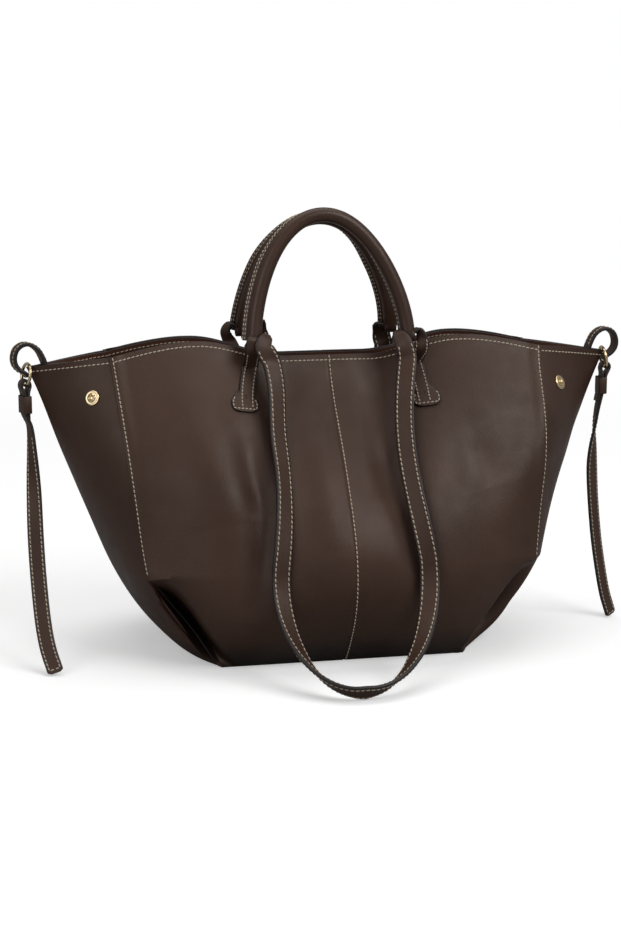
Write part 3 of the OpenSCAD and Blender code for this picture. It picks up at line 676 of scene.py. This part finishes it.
def build_linings():
    """Lining and rim facing, each in a front and a back half that end on the wings."""
    rows = slice(3, len(HEIGHTS) - 1)
    facing_rows = slice(len(HEIGHTS) - 6, len(HEIGHTS))
    low_inset, rim_inset = 2.2, 3.6
    halves = {"front": (FRONT_LEFT_SEAM, FRONT_RIGHT_SEAM), "back": (BACK_RIGHT_SEAM, BACK_LEFT_SEAM)}
    for name, (first, last) in halves.items():
        cols = np.arange(first - WING_COLS + 1, last + WING_COLS)
        outer = wall_layer(cols, LINING_DEPTH, rows)
        inner = wall_layer(cols, LINING_DEPTH + LINING_T, rows)
        obj = sheet(name + "_lining_cloth", outer, inner, [LINING] * 3)
        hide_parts(name + "_lining")
        outer = wall_layer(cols, FACING_DEPTH, facing_rows)
        inner = wall_layer(cols, FACING_DEPTH + FACING_T, facing_rows)
        obj = sheet(name + "_rim_facing_leather", outer, inner, [FLESH, EDGE, FACING])
        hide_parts(name + "_rim_facing")
        inward = -NORMAL[facing_rows][:, cols % ROUND]
        rows_in = [inset_line(inner, inward, "bottom", low_inset, (2, 2)),
                   inset_line(inner, inward, "top", rim_inset, (2, 2))]
        stitches(name + "_facing_stitching", rows_in, "bag")


# Base
def octagon(inset, z, corner=6):
    x, y, c = BASE_W / 2 - inset, BASE_D / 2 - inset, corner
    flat = [(c - x, y), (-x, y - c), (-x, c - y), (c - x, -y),
            (x - c, -y), (x, c - y), (x, y - c), (x - c, y)]
    return np.array([(a, b, z) for a, b in flat], float)


def build_base():
    """The base and its lining, each a flat sheet with worn edges."""
    edge_in, edge_up = 0.4, 0.3
    for name, inset, z0, z1, materials, slot in (
            ("base_panel", 1.9, 0, LEATHER_T, [LEATHER, EDGE], "leather_dark"),
            ("base_lining", 7, 4, 4 + LINING_T, [LINING, LINING], "lining")):
        sections = [octagon(inset + edge_in, z0), octagon(inset, z0 + edge_up),
                    octagon(inset, z1 - edge_up), octagon(inset + edge_in, z1)]
        obj = loft(name + "_sheet", sections, materials[::-1], [0] * 8, "bag")
        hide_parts(name)
    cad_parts["base_board"].material_slots[0].material = BOARD


# Handles
HANDLE_SIDES = 24
FLANGE_T, FLANGE_L, FLANGE_TOP_L = 2.6, 4.4, 1.2
EYE_W, EYE_T, EYE_R, EYE_NECK = 9.5, 2, 4.3, 3.9


def handle_path(lean, mirror):
    """The middle line of a handle's tube, whose ends reach down to the tabs' bars."""
    rake = np.array([-sin_deg(HANDLE_RAKE), cos_deg(HANDLE_RAKE)])
    start = np.array([ROOT_X, 0]) + NECK_L * rake
    second = start + HANDLE_RISE * 0.37 * rake
    s = np.linspace(0, 1, 40)[:, None]
    half = bezier(start, second, np.array([ROOT_X * 0.56, HANDLE_RISE]), np.array([0, HANDLE_RISE]), s)
    flat = np.vstack([half, (half * [-1, 1])[-2::-1]])
    flat[:, 0] -= HANDLE_SWAY * smooth((flat[:, 1] - NECK_L) / HANDLE_RISE)
    low = np.array([[ROOT_X, 0] + rake * reach for reach in (-1.5, 0.5, 4)])
    flat = np.vstack([low, flat, (low * [-1, 1])[::-1]])
    y = -ROOT_Y + flat[:, 1] * sin_deg(lean)
    return np.stack([flat[:, 0], y * mirror, ROOT_Z + flat[:, 1] * cos_deg(lean)], -1)


def handle_sections(path, toward, flange):
    """Round sections with a sewn flange that points the way toward says, and the two directions of each."""
    f, g = frames_along(path, toward)
    root = np.arcsin(FLANGE_T / 2 / HANDLE_R)
    angle = np.linspace(root, 2 * np.pi - root, HANDLE_SIDES)
    half, bevel = FLANGE_T / 2, 0.6
    sections = []
    for p, fi, gi, reach in zip(path, f, g, flange):
        tip = HANDLE_R + reach
        shape = [(HANDLE_R * np.cos(a), HANDLE_R * np.sin(a)) for a in angle]
        shape += [(tip - bevel, -half), (tip, -half + bevel), (tip, half - bevel), (tip - bevel, half)]
        sections.append([p + fi * a + gi * b for a, b in shape])
    kinds = [0] * HANDLE_SIDES + [1] * 3 + [0]
    return np.array(sections), kinds, f, g


def build_handle(side, lean, mirror, toward_left, toward_right):
    """A rolled handle, whose flange points one way at its left end and another at its right."""
    path = handle_path(lean, mirror)
    rightward = smooth((path[:, :1] + 40) / 80)
    toward = mix(np.array(toward_left, float), np.array(toward_right, float), rightward)
    share = np.clip((path[:, 2] - ROOT_Z) / HANDLE_RISE, 0, 1)
    flange = mix(FLANGE_L, FLANGE_TOP_L, smooth((share - 0.55) / 0.4))
    sections, kinds, f, g = handle_sections(path, toward, flange)
    name, body = side + "_handle_cover", side + "_handle"
    sections[[0, -1]] = mix(sections[[0, -1]], path[[0, -1]][:, None], 0.12)
    obj = loft(name + "_leather", sections, [HANDLE_LEATHER, EDGE], kinds, body)
    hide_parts(name)
    rows = []
    for along in (HANDLE_R + flange * 0.3, HANDLE_R + flange * 0.68):
        rows += [(path + f * along[:, None] + g * s * (FLANGE_T / 2 - 0.1), g * s) for s in (1, -1)]
    stitches(name + "_stitching", rows, body, length=2.5, width=0.75)
    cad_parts[side + "_handle_core"].material_slots[0].material = ROPE


def build_eyes(side, lean, mirror):
    """The handle's ends, folded round the bars of the tabs."""
    turn = lean * mirror
    loop = [(EYE_R * cos_deg(a), EYE_R * sin_deg(a)) for a in np.linspace(135, 405, 28)]
    flat = [(-EYE_NECK, 11), (-EYE_NECK, 7)] + loop + [(EYE_NECK, 7), (EYE_NECK, 11)]
    for sx in (-1, 1):
        path = np.array([(sx * (ROOT_X - max(z, 0) * sin_deg(HANDLE_RAKE)),
                          mirror * -ROOT_Y + y * cos_deg(turn) + z * sin_deg(turn),
                          ROOT_Z - y * sin_deg(turn) + z * cos_deg(turn)) for y, z in flat])
        path = spline(path, 1.2)[0]
        across = np.tile([1.0, 0, 0], (len(path), 1))
        name = side + "_handle_" + ("left" if sx < 0 else "right") + "_eye_leather"
        obj = band(name, path, across, EYE_W, EYE_T, [HANDLE_LEATHER, EDGE], side + "_handle")
        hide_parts(side + "_handle_eyes")


# Places on the front and back wall, as the distance from the middle
FRONT_ROWS = WALL[:, FRONT_LEFT_SEAM:FRONT_RIGHT_SEAM + 1]
BACK_ROWS = WALL[:, BACK_RIGHT_SEAM:BACK_LEFT_SEAM + 1]


def wall_y(x, z, back=False):
    """Distance of the front or back wall from the middle at x and z."""
    places = np.array([pick(row, row[:, 0], x) for row in (BACK_ROWS[:, ::-1] if back else FRONT_ROWS)])
    return np.interp(z, places[:, 2], np.abs(places[:, 1]))


def wall_slope(x, z, back=False):
    """How fast the wall falls back as x grows."""
    return (wall_y(x - 2, z, back) - wall_y(x + 2, z, back)) / 4


# Tabs. A strap's key is its place, width direction, width, thickness and squareness, and a gathered top's
# keys are given from the root of the handle
ROOT_KEY = np.array([ROOT_X, ROOT_Y, ROOT_Z] + [0] * 6)
TAB_W, TAB_FOOT_H, TAB_FOOT_R = 13.4, 13.5, 6
FOOT_OUTER, FOOT_INNER = TAB_W / 2 + 6.5, TAB_W / 2 + 2.5


def foot_side(left, reach):
    """How far the foot reaches sideways at a distance from its end: a bar with round corners."""
    bar = reach - TAB_FOOT_R * corner_cut(np.minimum(left, TAB_FOOT_H - left) / TAB_FOOT_R)
    return np.where(left <= TAB_FOOT_H, np.maximum(bar, 0), 0)


def build_tab(name, sx, sy, lean_out, foot_out, arch_out, arch_up):
    """A tab: gathered in the handle's eye, then over in an arch or straight forward, and flat on the wall
    down to its rounded foot."""
    back = sy > 0
    down = np.linspace(0, 1, 11)
    wall_x = ROOT_X + mix(lean_out, foot_out, np.sin(np.pi / 2 * down))
    wall_z = mix(RIM_MID_Z - 2, FOOT_Z, down)
    y = np.array([wall_y(sx * a, b, back) + 1.25 for a, b in zip(wall_x, wall_z)])
    keys = [(-5.5, 0, 0.6, 0, 1, 0, 5.4, 5.2, 0),
            (0, 0, 0.4, 0, 1, 0, 5.4, 5.2, 0),
            (5, 0, 0.5 + arch_up * 0.6, 0.15, 1, 0, 6.5, 4.4, 0.15),
            (6.5 + arch_out * 0.4, 0.6, arch_up, 0.5, 1, 0, 8.5, 3.4, 0.5),
            (6.5 + arch_out * 0.8, 1.6, arch_up * 0.5 - 4, 0.8, 0.8, 0, 10, 2.8, 0.8),
            (lean_out + arch_out * 0.6, 3, -11, 1, 0.3, 0, 11.5, 2.2, 1)]
    if arch_out == 0:
        keys[2:] = [(1.5, 5, 1, 1, 0.4, 0, 9, 3.4, 0.5),
                    (2, 6.5, -3, 1, 0.1, 0, 12, 2.4, 1),
                    (1.5, 4.5, -10, 1, 0, 0, TAB_W, 2, 1)]
    keys = list(ROOT_KEY + keys)
    for a, b, c in zip(wall_x[1:], y[1:], wall_z[1:]):
        keys.append((a, b, c, 1, -sx * wall_slope(sx * a, c, back), 0, TAB_W, 1.8, 1))
    fine = spline(keys, 0.9)[0]
    path, across = fine[:, :3] * [sx, sy, 1], unit(fine[:, 3:6]) * [sx, sy, 1]
    run = run_along(path)
    left = run[-1] - run
    strip_half = fine[:, 6] / 2 * (left > 1.5)
    outer = np.maximum(strip_half, foot_side(left, FOOT_OUTER))
    inner = np.maximum(strip_half, foot_side(left, FOOT_INNER))
    wide, up = frames_along(path, across)
    middle = path + wide * ((outer - inner) / 2)[:, None]
    squareness = np.clip(fine[:, 8], 0, 1)
    obj = band(name + "_leather", middle, across, outer + inner, fine[:, 7], STRAP, "bag", squareness)
    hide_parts(name)
    outward = np.where((up @ np.array([0, sy, 0]) > 0)[:, None], up, -up)
    face = path + outward * (fine[:, 7] / 2)[:, None]
    strip = (run > 24) & (left > 3.5)
    rows = [((face + wide * (s * (TAB_W / 2 - SIDE_INSET)))[strip], outward[strip]) for s in (-1, 1)]
    inset = 1.9
    shrunk = np.clip(left, inset, TAB_FOOT_H - inset)
    foot = (left > inset) & (left < TAB_FOOT_H - 1.3)
    fall = (face + wide * (foot_side(shrunk, FOOT_OUTER) - inset * 0.6)[:, None])[foot]
    rise = (face - wide * (foot_side(shrunk, FOOT_INNER) - inset * 0.6)[:, None])[foot]
    loop = np.concatenate([fall, rise[::-1]])
    rows.append((loop, np.tile(outward[-6], (len(loop), 1))))
    stitches(name + "_stitching", rows, "bag", pitch=SHORT_PITCH, length=2.4)


# Shoulder straps
LEAVE_Z, FLOOR_TILT, FLOOR_KEYS = 92, 50, 17
BOW, TOP_OFF_WALL, LEG_SHIFT, FLOOR_DRIFT = 10.5, 20, 9, 8
TOP_ARCH = [(-3, 3.5), (-7, 5), (-10, 3), (-9, 0)]


def strap_bow(z):
    """A leg's distance from the middle, which is least about two thirds of the way up the wall."""
    return ROOT_X - 2 - BOW * bump((z - 60) / 190, 1.8, 1.4)


def resting_y(x, z, slope):
    """How far from the middle a strap lies so that its whole width clears all four quarters of the wall."""
    least_gap = 0.8
    reach = [wall_y(side * (x + dx), z, back) + slope * dx
             for side in (-1, 1) for dx in (-7, -3.5, 0, 3.5, 7) for back in (False, True)]
    return max(reach) + STRAP_T / 2 + least_gap


def strap_keys():
    """Half of the front strap, from its gathered top to its lowest point."""
    keys = list(ROOT_KEY + [(-5.4, 0, 0.6, 0, 1, 0, 5.4, 5.2, 0),
                            (-8.4, 0.8, 2.4, 0.3, 1, 0, 7.5, 4.2, 0.3),
                            (-9, 4.5, 1.4, 1, 0.5, 0, 11, 3.2, 0.8),
                            (-6, 8.5, -4.5, 1, 0.1, 0, 14.5, 2.8, 1),
                            (-4.5, 10, -11, 1, 0, 0, STRAP_W, 2.9, 1)])
    for z in np.linspace(RIM_MID_Z - 1, LEAVE_Z, 15)[:-1]:
        x = strap_bow(z)
        slope = wall_slope(x, z)
        y = resting_y(x, z, slope) + TOP_OFF_WALL * smooth((z - 150) / 90)
        keys.append((x, y, z, 1, -slope, 0, STRAP_W, STRAP_T, 1))
    x = strap_bow(LEAVE_Z)
    slope = wall_slope(x, LEAVE_Z)
    hang = resting_y(x, LEAVE_Z, slope)
    tilt_y, tilt_z = cos_deg(FLOOR_TILT), sin_deg(FLOOR_TILT)
    low_z = STRAP_W / 2 * tilt_z + STRAP_T / 2 * tilt_y
    curve = np.array([(x, hang, LEAVE_Z), (ROOT_X, hang + 1, LEAVE_Z / 2),
                      (44, STRAP_REACH, low_z), (0, STRAP_REACH, low_z)])
    turn = np.array([(1, -slope, 0), (1, 0.3, 0), (0, 1.1, 0.2), (0, tilt_y, tilt_z)])
    for s in np.linspace(0, 1, FLOOR_KEYS):
        keys.append((*bezier(*curve, s), *bezier(*turn, s), STRAP_W, STRAP_T, 1))
    return np.array(keys)


def left_leg_shift(z):
    """The left leg of a strap hangs a little nearer the middle than the right one."""
    return LEG_SHIFT * smooth((z - 178) / 60) * smooth((ROOT_Z - 4 - z) / 14)


def build_strap(side, turn):
    """A shoulder strap in one piece, from one gathered top down to the floor and up to the other."""
    half = strap_keys()
    share = np.zeros(len(half))
    share[-FLOOR_KEYS:] = np.linspace(0, 1, FLOOR_KEYS)
    drift = -FLOOR_DRIFT * smooth(share)
    right, left = half.copy(), half[-2::-1].copy()
    left[:, [0, 3]] *= -1
    if side == "front":
        left[:, 0] += left_leg_shift(left[:, 2])
    else:
        right[:, 0] -= left_leg_shift(right[:, 2])
        right[1:5, [0, 2]] += TOP_ARCH
    right[:, 0] += drift
    left[:, 0] += drift[-2::-1]
    keys = np.vstack([right, left])
    fine, place = spline(keys, 3)
    flip = np.array([1, -1, 1]) * ([1, 1, 1] if turn > 0 else [-1, -1, 1])
    path, across = fine[:, :3] * flip, unit(fine[:, 3:6]) * flip
    name, body = side + "_shoulder_strap", side + "_strap"
    squareness = np.clip(fine[:, 8], 0, 1)
    obj = band(name + "_leather", path, across, fine[:, 6], fine[:, 7], STRAP, body, squareness)
    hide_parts(name)
    wide, up = frames_along(path, across)
    keep = (place > 3) & (place < len(keys) - 4)
    rows = both_faces(path, wide, up, fine[:, 6] / 2 - SIDE_INSET, fine[:, 7], keep)
    stitches(name + "_stitching", rows, body, pitch=4.1, length=3.1, width=1.05)


# Hanging loops, rings and ties. A loop's places are beside and above the wing's tip
LOOP_W, LOOP_T, LOOP_ROW = 9.5, 3, 2.9
LOOP_SHAPE = [(-20.5, -14), (-17.2, -6), (-15.6, 1), (-13.2, 8), (-9.6, 14.4), (-4, 18.4), (2, 18.6), (7, 15),
              (9.2, 9), (8.6, 3.2), (5.5, -1.2), (1.5, -4)]


def build_hanging_loop(side, sx):
    """A short strap from inside the wing over its tip and back to its edge, round the ring's upper wire."""
    end_z = RIM_TIP_Z - 7
    end_x = tip_line(end_z / RIM_TIP_Z).real + 2
    keys = [(RIM_W / 2 + a, 0, RIM_TIP_Z + b) for a, b in LOOP_SHAPE] + [(end_x, 0, end_z)]
    path, place = spline(keys, 1.2)
    path = path * [sx, 1, 1]
    across = np.tile([-0.34 if sx < 0 else -0.15, 0.94, 0], (len(path), 1))
    name = side + "_hanging_loop"
    obj = band(name + "_leather", path, across, LOOP_W, LOOP_T, STRAP, "bag")
    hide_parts(name)
    wide, up = frames_along(path, across)
    outward = up * (1 if up[len(up) // 2][2] > 0 else -1)
    keep = place > 2.5
    rows = [((path + wide * s * LOOP_ROW + outward * LOOP_T / 2)[keep], outward[keep]) for s in (-1, 1)]
    stitches(name + "_stitching", rows, "bag", pitch=SHORT_PITCH, length=2.4)


# A tie's route below its keeper: x beyond the wing's tip, y, and z as a share of the tip's height
RIGHT_ROUTE = [(-4.6, 0, 0.79), (-6.6, 0, 0.72), (-7.6, 0, 0.65), (-7.8, 0, 0.57), (-6, 0, 0.453),
               (-2.5, 0, 0.318), (2, 0, 0.2), (7, 0, 0.097), (12, 0, 0.03), (13.6, 0, 0.009)]
LEFT_ROUTE = [(-2.2, 0, 0.797), (-3.2, -3, 0.712), (-3.5, -9, 0.572), (-3.2, -19, 0.432), (-3.6, -33, 0.3),
              (-5, -50, 0.17), (-7.6, -62, 0.085), (-12.5, -74, 0.013)]
FOLD_W, HUNG_W = TIE_W - 5, TIE_W - 1.5
PLY_GAP, RING_GAP = 0.3, 0.55
TIE_INSET, TIE_END_INSET, TIE_CORNER = 2.1, 2.3, 2.5
KEEPER_W, KEEPER_T = HUNG_W + 1.8, 2 * TIE_T + PLY_GAP + 1.8
KEEPER_EDGE = [(-0.6, -6.6), (0.3, -7), (0.6, -6.6), (0.6, 6.6), (0.3, 7), (-0.6, 6.6)]


def ring_low(sx, yaw):
    """The ring's lowest point, its outward direction and the direction across it."""
    out = sx * np.array([cos_deg(yaw), sin_deg(yaw), 0])
    centre = np.array([sx * (RIM_W / 2 - RING_IN), 0, RIM_TIP_Z - RING_DOWN])
    low = centre + [0, 0, -RING_MID_R * cos_deg(RING_LEAN)] + out * RING_MID_R * sin_deg(RING_LEAN)
    return low, out, np.array([-sin_deg(yaw), cos_deg(yaw), 0])


def keeper_sections(centre, along, out):
    """Sections of the keeper's wall at places all round it, which make it a rounded box."""
    up = np.array([0, 0, 1.0])
    sections = []
    for angle in np.linspace(0, 360, 33)[:-1]:
        c, s = cos_deg(angle), sin_deg(angle)
        a, b = np.sign(c) * abs(c) ** 0.35 * KEEPER_W / 2, np.sign(s) * abs(s) ** 0.35 * KEEPER_T / 2
        spot, away = centre + along * a + out * b, unit(along * a / KEEPER_W + out * b / KEEPER_T)
        sections.append([spot + away * d + up * h for d, h in KEEPER_EDGE])
    return sections


def build_tie(side, sx, yaw, route, face, lean):
    """A tie folded over the ring, through its keeper and down its route, with its fold leaning inwards."""
    low, out, along = ring_low(sx, yaw)
    rise = RING_MID_R - np.sqrt(RING_MID_R ** 2 - FOLD_W ** 2 / 4)
    bend = RING_WIRE / 2 + rise / 2 + RING_GAP + TIE_T / 2
    apart = (TIE_T + PLY_GAP) / 2

    def at(s, z):
        return low + out * (s + lean * min(z, 0)) + np.array([0, 0, z + rise / 2])

    keys = [at(-apart, z) for z in (-30, -9)] + [at(-bend, -2)]
    keys += [at(bend * cos_deg(a), bend * sin_deg(a)) for a in range(180, -1, -30)]
    keys += [at(bend, -2), at(apart, -9), at(apart, -23)]
    folded = len(keys)
    keys += [np.array([sx * (RIM_W / 2 + p[0]), p[1], p[2] * RIM_TIP_Z]) for p in route]
    across = [along] * folded
    across += [unit(mix(along, np.array(face, float), smooth(i / 3))) for i in range(len(route))]
    width = [HUNG_W] * 2 + [FOLD_W] * (folded - 4) + [HUNG_W] * 2
    width += [mix(HUNG_W, TIE_W, smooth(i / 3)) for i in range(len(route))]
    fine, place = spline(np.column_stack([keys, across, width]), 1.4)
    path, wide_dir, w = fine[:, :3], unit(fine[:, 3:6]), fine[:, 6]
    run = run_along(path)
    left = run[-1] - run
    w = w - 2 * TIE_CORNER * corner_cut(left / TIE_CORNER)
    name = body = side + "_tie"
    obj = band(name + "_leather", path, wide_dir, w, TIE_T, STRAP, body)
    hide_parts(name)
    wide, up = frames_along(path, wide_dir)
    keep = (place > folded + 0.4) & (left > TIE_END_INSET)
    rows = both_faces(path, wide, up, w / 2 - TIE_INSET, TIE_T, keep)
    end = np.argmin(np.abs(left - TIE_END_INSET))
    reach = np.linspace(-1, 1, 6)[:, None] * (TIE_W / 2 - TIE_INSET)
    for face_up in (-1, 1):
        line = path[end] + wide[end] * reach + up[end] * face_up * TIE_T / 2
        rows.append((line, np.tile(up[end] * face_up, (len(reach), 1))))
    stitches(name + "_stitching", rows, body)
    sections = keeper_sections(at(0, -16), along, out)
    obj = loft(side + "_tie_keeper_leather", sections, STRAP, [1, 1, 0, 1, 1, 0], body, closed=True)
    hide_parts(side + "_tie_keeper")
    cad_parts[side + "_ring"].material_slots[0].material = GOLD


# Snap fasteners
def turned(name, profile, origin, axis, material, node):
    """A turned piece with an open base: profile is a list of (radius, height) along the axis."""
    side = unit(np.cross(axis, [0, 0, 1.0]))
    angle = np.linspace(0, 360, 49)[:-1, None]
    out = side * cos_deg(angle) + np.cross(axis, side) * sin_deg(angle)
    sections = [origin + out * radius + axis * height for radius, height in profile]
    obj = loft(name, sections, [material], [0] * len(angle), "bag", capped=False, sharp=50)
    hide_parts(node)


SOCKET = [(0.02, 0.3), (1.8, 0.3), (2.0, 0.5), (2.0, 1.7), (2.3, 2.0), (2.9, 1.9), (3.3, 1.3), (3.8, 1.05),
          (4.8, 1.2), (5.6, 1.3), (6.05, 1.05), (6.25, 0.5), (6.1, 0.05)]
STUD = [(0.02, 3.1), (0.7, 3.05), (1.35, 2.75), (1.8, 2.2), (1.9, 1.7), (1.7, 1.2), (2.1, 0.9), (3.0, 0.95),
        (3.6, 1.25), (4.6, 1.35), (5.6, 1.2), (6.1, 0.8), (6.25, 0.4), (6.1, 0.05)]
CAP = [(0.02, 0.95), (2.5, 0.9), (4.1, 0.7), (4.9, 0.35), (5, 0.05)]


def build_snaps():
    """A socket on one wing and a stud on the other at the front, and the other way round at the back."""
    level = np.interp(SNAP_UP, HEIGHTS, np.arange(len(HEIGHTS)))
    step = np.interp(1 + SNAP_ACROSS, ACROSS, np.arange(len(ACROSS))) - PANEL_COLS
    places = {
        "front_left_socket": (FRONT_LEFT_SEAM - step, SOCKET, "snap_sockets"),
        "back_right_socket": (BACK_RIGHT_SEAM - step, SOCKET, "snap_sockets"),
        "front_right_stud": (FRONT_RIGHT_SEAM + step, STUD, "snap_studs"),
        "back_left_stud": (BACK_LEFT_SEAM + step, STUD, "snap_studs"),
    }
    row = int(round(level))
    for name, (col, profile, node) in places.items():
        i, part = int(col) % ROUND, col - int(col)
        spot = mix(WALL[row, i], WALL[row, (i + 1) % ROUND], part)
        out = unit(mix(NORMAL[row, i], NORMAL[row, (i + 1) % ROUND], part))
        inner = spot - out * (LINING_DEPTH + LINING_T + 0.1)
        turned(name + "_metal", profile, spot + out * LAYER_GAP, out, GOLD, node)
        turned(name + "_cap_metal", CAP, inner, -out, GOLD_WORN, "snap_caps")


# Floor, light and camera, placed in metres
WORLD_LIGHT = 0.3
FLOOR_TONE, FLOOR_BOUNCE, FLOOR_LIFT = 0.88, 0.35, 0.35
FADE_FROM, FADE_TO = 0.45, 1.5


def product(tree, a, b):
    return add_node(tree, "Math", {0: a, 1: b}, operation="MULTIPLY").outputs[0]


def build_stage():
    """A pale floor that keeps the shadow, and turns into the white backdrop away from the bag."""
    m, tree, shader, coords = new_material("studio_floor")
    tree.nodes.remove(shader)
    seen = add_node(tree, "LightPath", {}).outputs["Is Camera Ray"]
    tones = {"Factor": seen, "A": (*[FLOOR_BOUNCE] * 3, 1), "B": (*[FLOOR_TONE] * 3, 1)}
    colour = add_node(tree, "Mix", tones, data_type="RGBA").outputs["Result"]
    diffuse = add_node(tree, "BsdfDiffuse", {"Color": colour}).outputs[0]
    glow = add_node(tree, "Emission", {"Strength": product(tree, seen, FLOOR_LIFT)}).outputs[0]
    lit = add_node(tree, "AddShader", {0: diffuse, 1: glow}).outputs[0]
    away = add_node(tree, "VectorMath", {0: coords}, operation="LENGTH").outputs["Value"]
    values = {"Value": away, "From Min": FADE_FROM, "From Max": FADE_TO}
    fade = add_node(tree, "MapRange", values, interpolation_type="SMOOTHSTEP").outputs["Result"]
    white = add_node(tree, "Emission", {}).outputs[0]
    both = add_node(tree, "MixShader", {0: product(tree, seen, fade), 1: lit, 2: white}).outputs[0]
    set_inputs(tree, tree.nodes["Material Output"], {"Surface": both})
    half = 8
    corners = [(-half, -half, 0), (half, -half, 0), (half, half, 0), (-half, half, 0)]
    mesh = bpy.data.meshes.new("floor")
    mesh.from_pydata(corners, [], [(0, 1, 2, 3)])
    mesh.materials.append(m)
    floor = add_object("floor", mesh)


def build_world():
    """A white backdrop that lights the bag only a little."""
    world = bpy.data.worlds.new("studio")
    world.use_nodes = True
    bpy.context.scene.world = world
    tree = world.node_tree
    seen = add_node(tree, "LightPath", {}).outputs["Is Camera Ray"]
    level = add_node(tree, "MapRange", {"Value": seen, "To Min": WORLD_LIGHT, "To Max": 1})
    light = {"Color": (1, 1, 1, 1), "Strength": level.outputs["Result"]}
    set_inputs(tree, tree.nodes["Background"], light)


def add_light(name, place, aim, size, power):
    """A rectangular lamp turned towards its aim, with its power in watts."""
    lamp = bpy.data.lights.new(name, "AREA")
    lamp.shape = "RECTANGLE"
    lamp.size, lamp.size_y = size
    lamp.energy = power
    obj = add_object(name, lamp)
    obj.location = place
    obj.rotation_euler = (Vector(aim) - Vector(place)).to_track_quat("-Z", "Y").to_euler()


def build_lights():
    add_light("key_light", (1.3, -1.7, 1.9), (0, 0, 0.12), (1.6, 1.2), 29)
    add_light("fill_light", (-1.8, -1.5, 1.2), (0, 0, 0.12), (1.4, 1.4), 11)
    add_light("top_light", (0, 0.3, 2.2), (0, 0, 0.1), (2.0, 1.6), 16)


def build_camera():
    """The photograph's viewpoint, with its focal length and its height in pixels for the lens."""
    azimuth, elevation, distance = -12, 11.3, 1.61
    focal, picture_height = 1923, 931
    target = Vector((-0.01066, 0.00227, 0.1459))
    level = cos_deg(elevation)
    back = Vector((sin_deg(azimuth) * level, -cos_deg(azimuth) * level, sin_deg(elevation)))
    camera = bpy.data.cameras.new("camera")
    camera.sensor_fit = "VERTICAL"
    camera.sensor_height = 36
    camera.lens = focal / picture_height * camera.sensor_height
    camera.clip_end = 50
    obj = add_object("camera", camera)
    obj.location = target + back * distance
    obj.rotation_euler = back.to_track_quat("Z", "Y").to_euler()
    bpy.context.scene.camera = obj
    bpy.context.scene.view_settings.view_transform = "Standard"


build_camera()
build_stage()
build_world()
build_lights()
build_walls()
build_linings()
build_base()
build_handle("front", FRONT_LEAN, 1, (-0.95, 0.3, 0), (-0.5, 0.87, 0))
build_handle("back", BACK_LEAN, -1, (-0.9, 0.44, 0), (-0.9, 0.44, 0))
build_eyes("front", FRONT_LEAN, 1)
build_eyes("back", BACK_LEAN, -1)
build_tab("front_left_tab", -1, -1, lean_out=0, foot_out=8.5, arch_out=0, arch_up=0)
build_tab("front_right_tab", 1, -1, lean_out=7, foot_out=10.5, arch_out=6, arch_up=4)
build_tab("back_left_tab", -1, 1, lean_out=4, foot_out=10.5, arch_out=8, arch_up=5)
build_tab("back_right_tab", 1, 1, lean_out=4, foot_out=10.5, arch_out=7, arch_up=4)
build_strap("front", 1)
build_strap("back", -1)
build_hanging_loop("left", -1)
build_hanging_loop("right", 1)
build_tie("left", -1, LEFT_RING_YAW, LEFT_ROUTE, face=(-1, 0.2, 0), lean=0)
build_tie("right", 1, RIGHT_RING_YAW, RIGHT_ROUTE, face=(0.86, 0.51, 0), lean=0.17)
build_snaps()
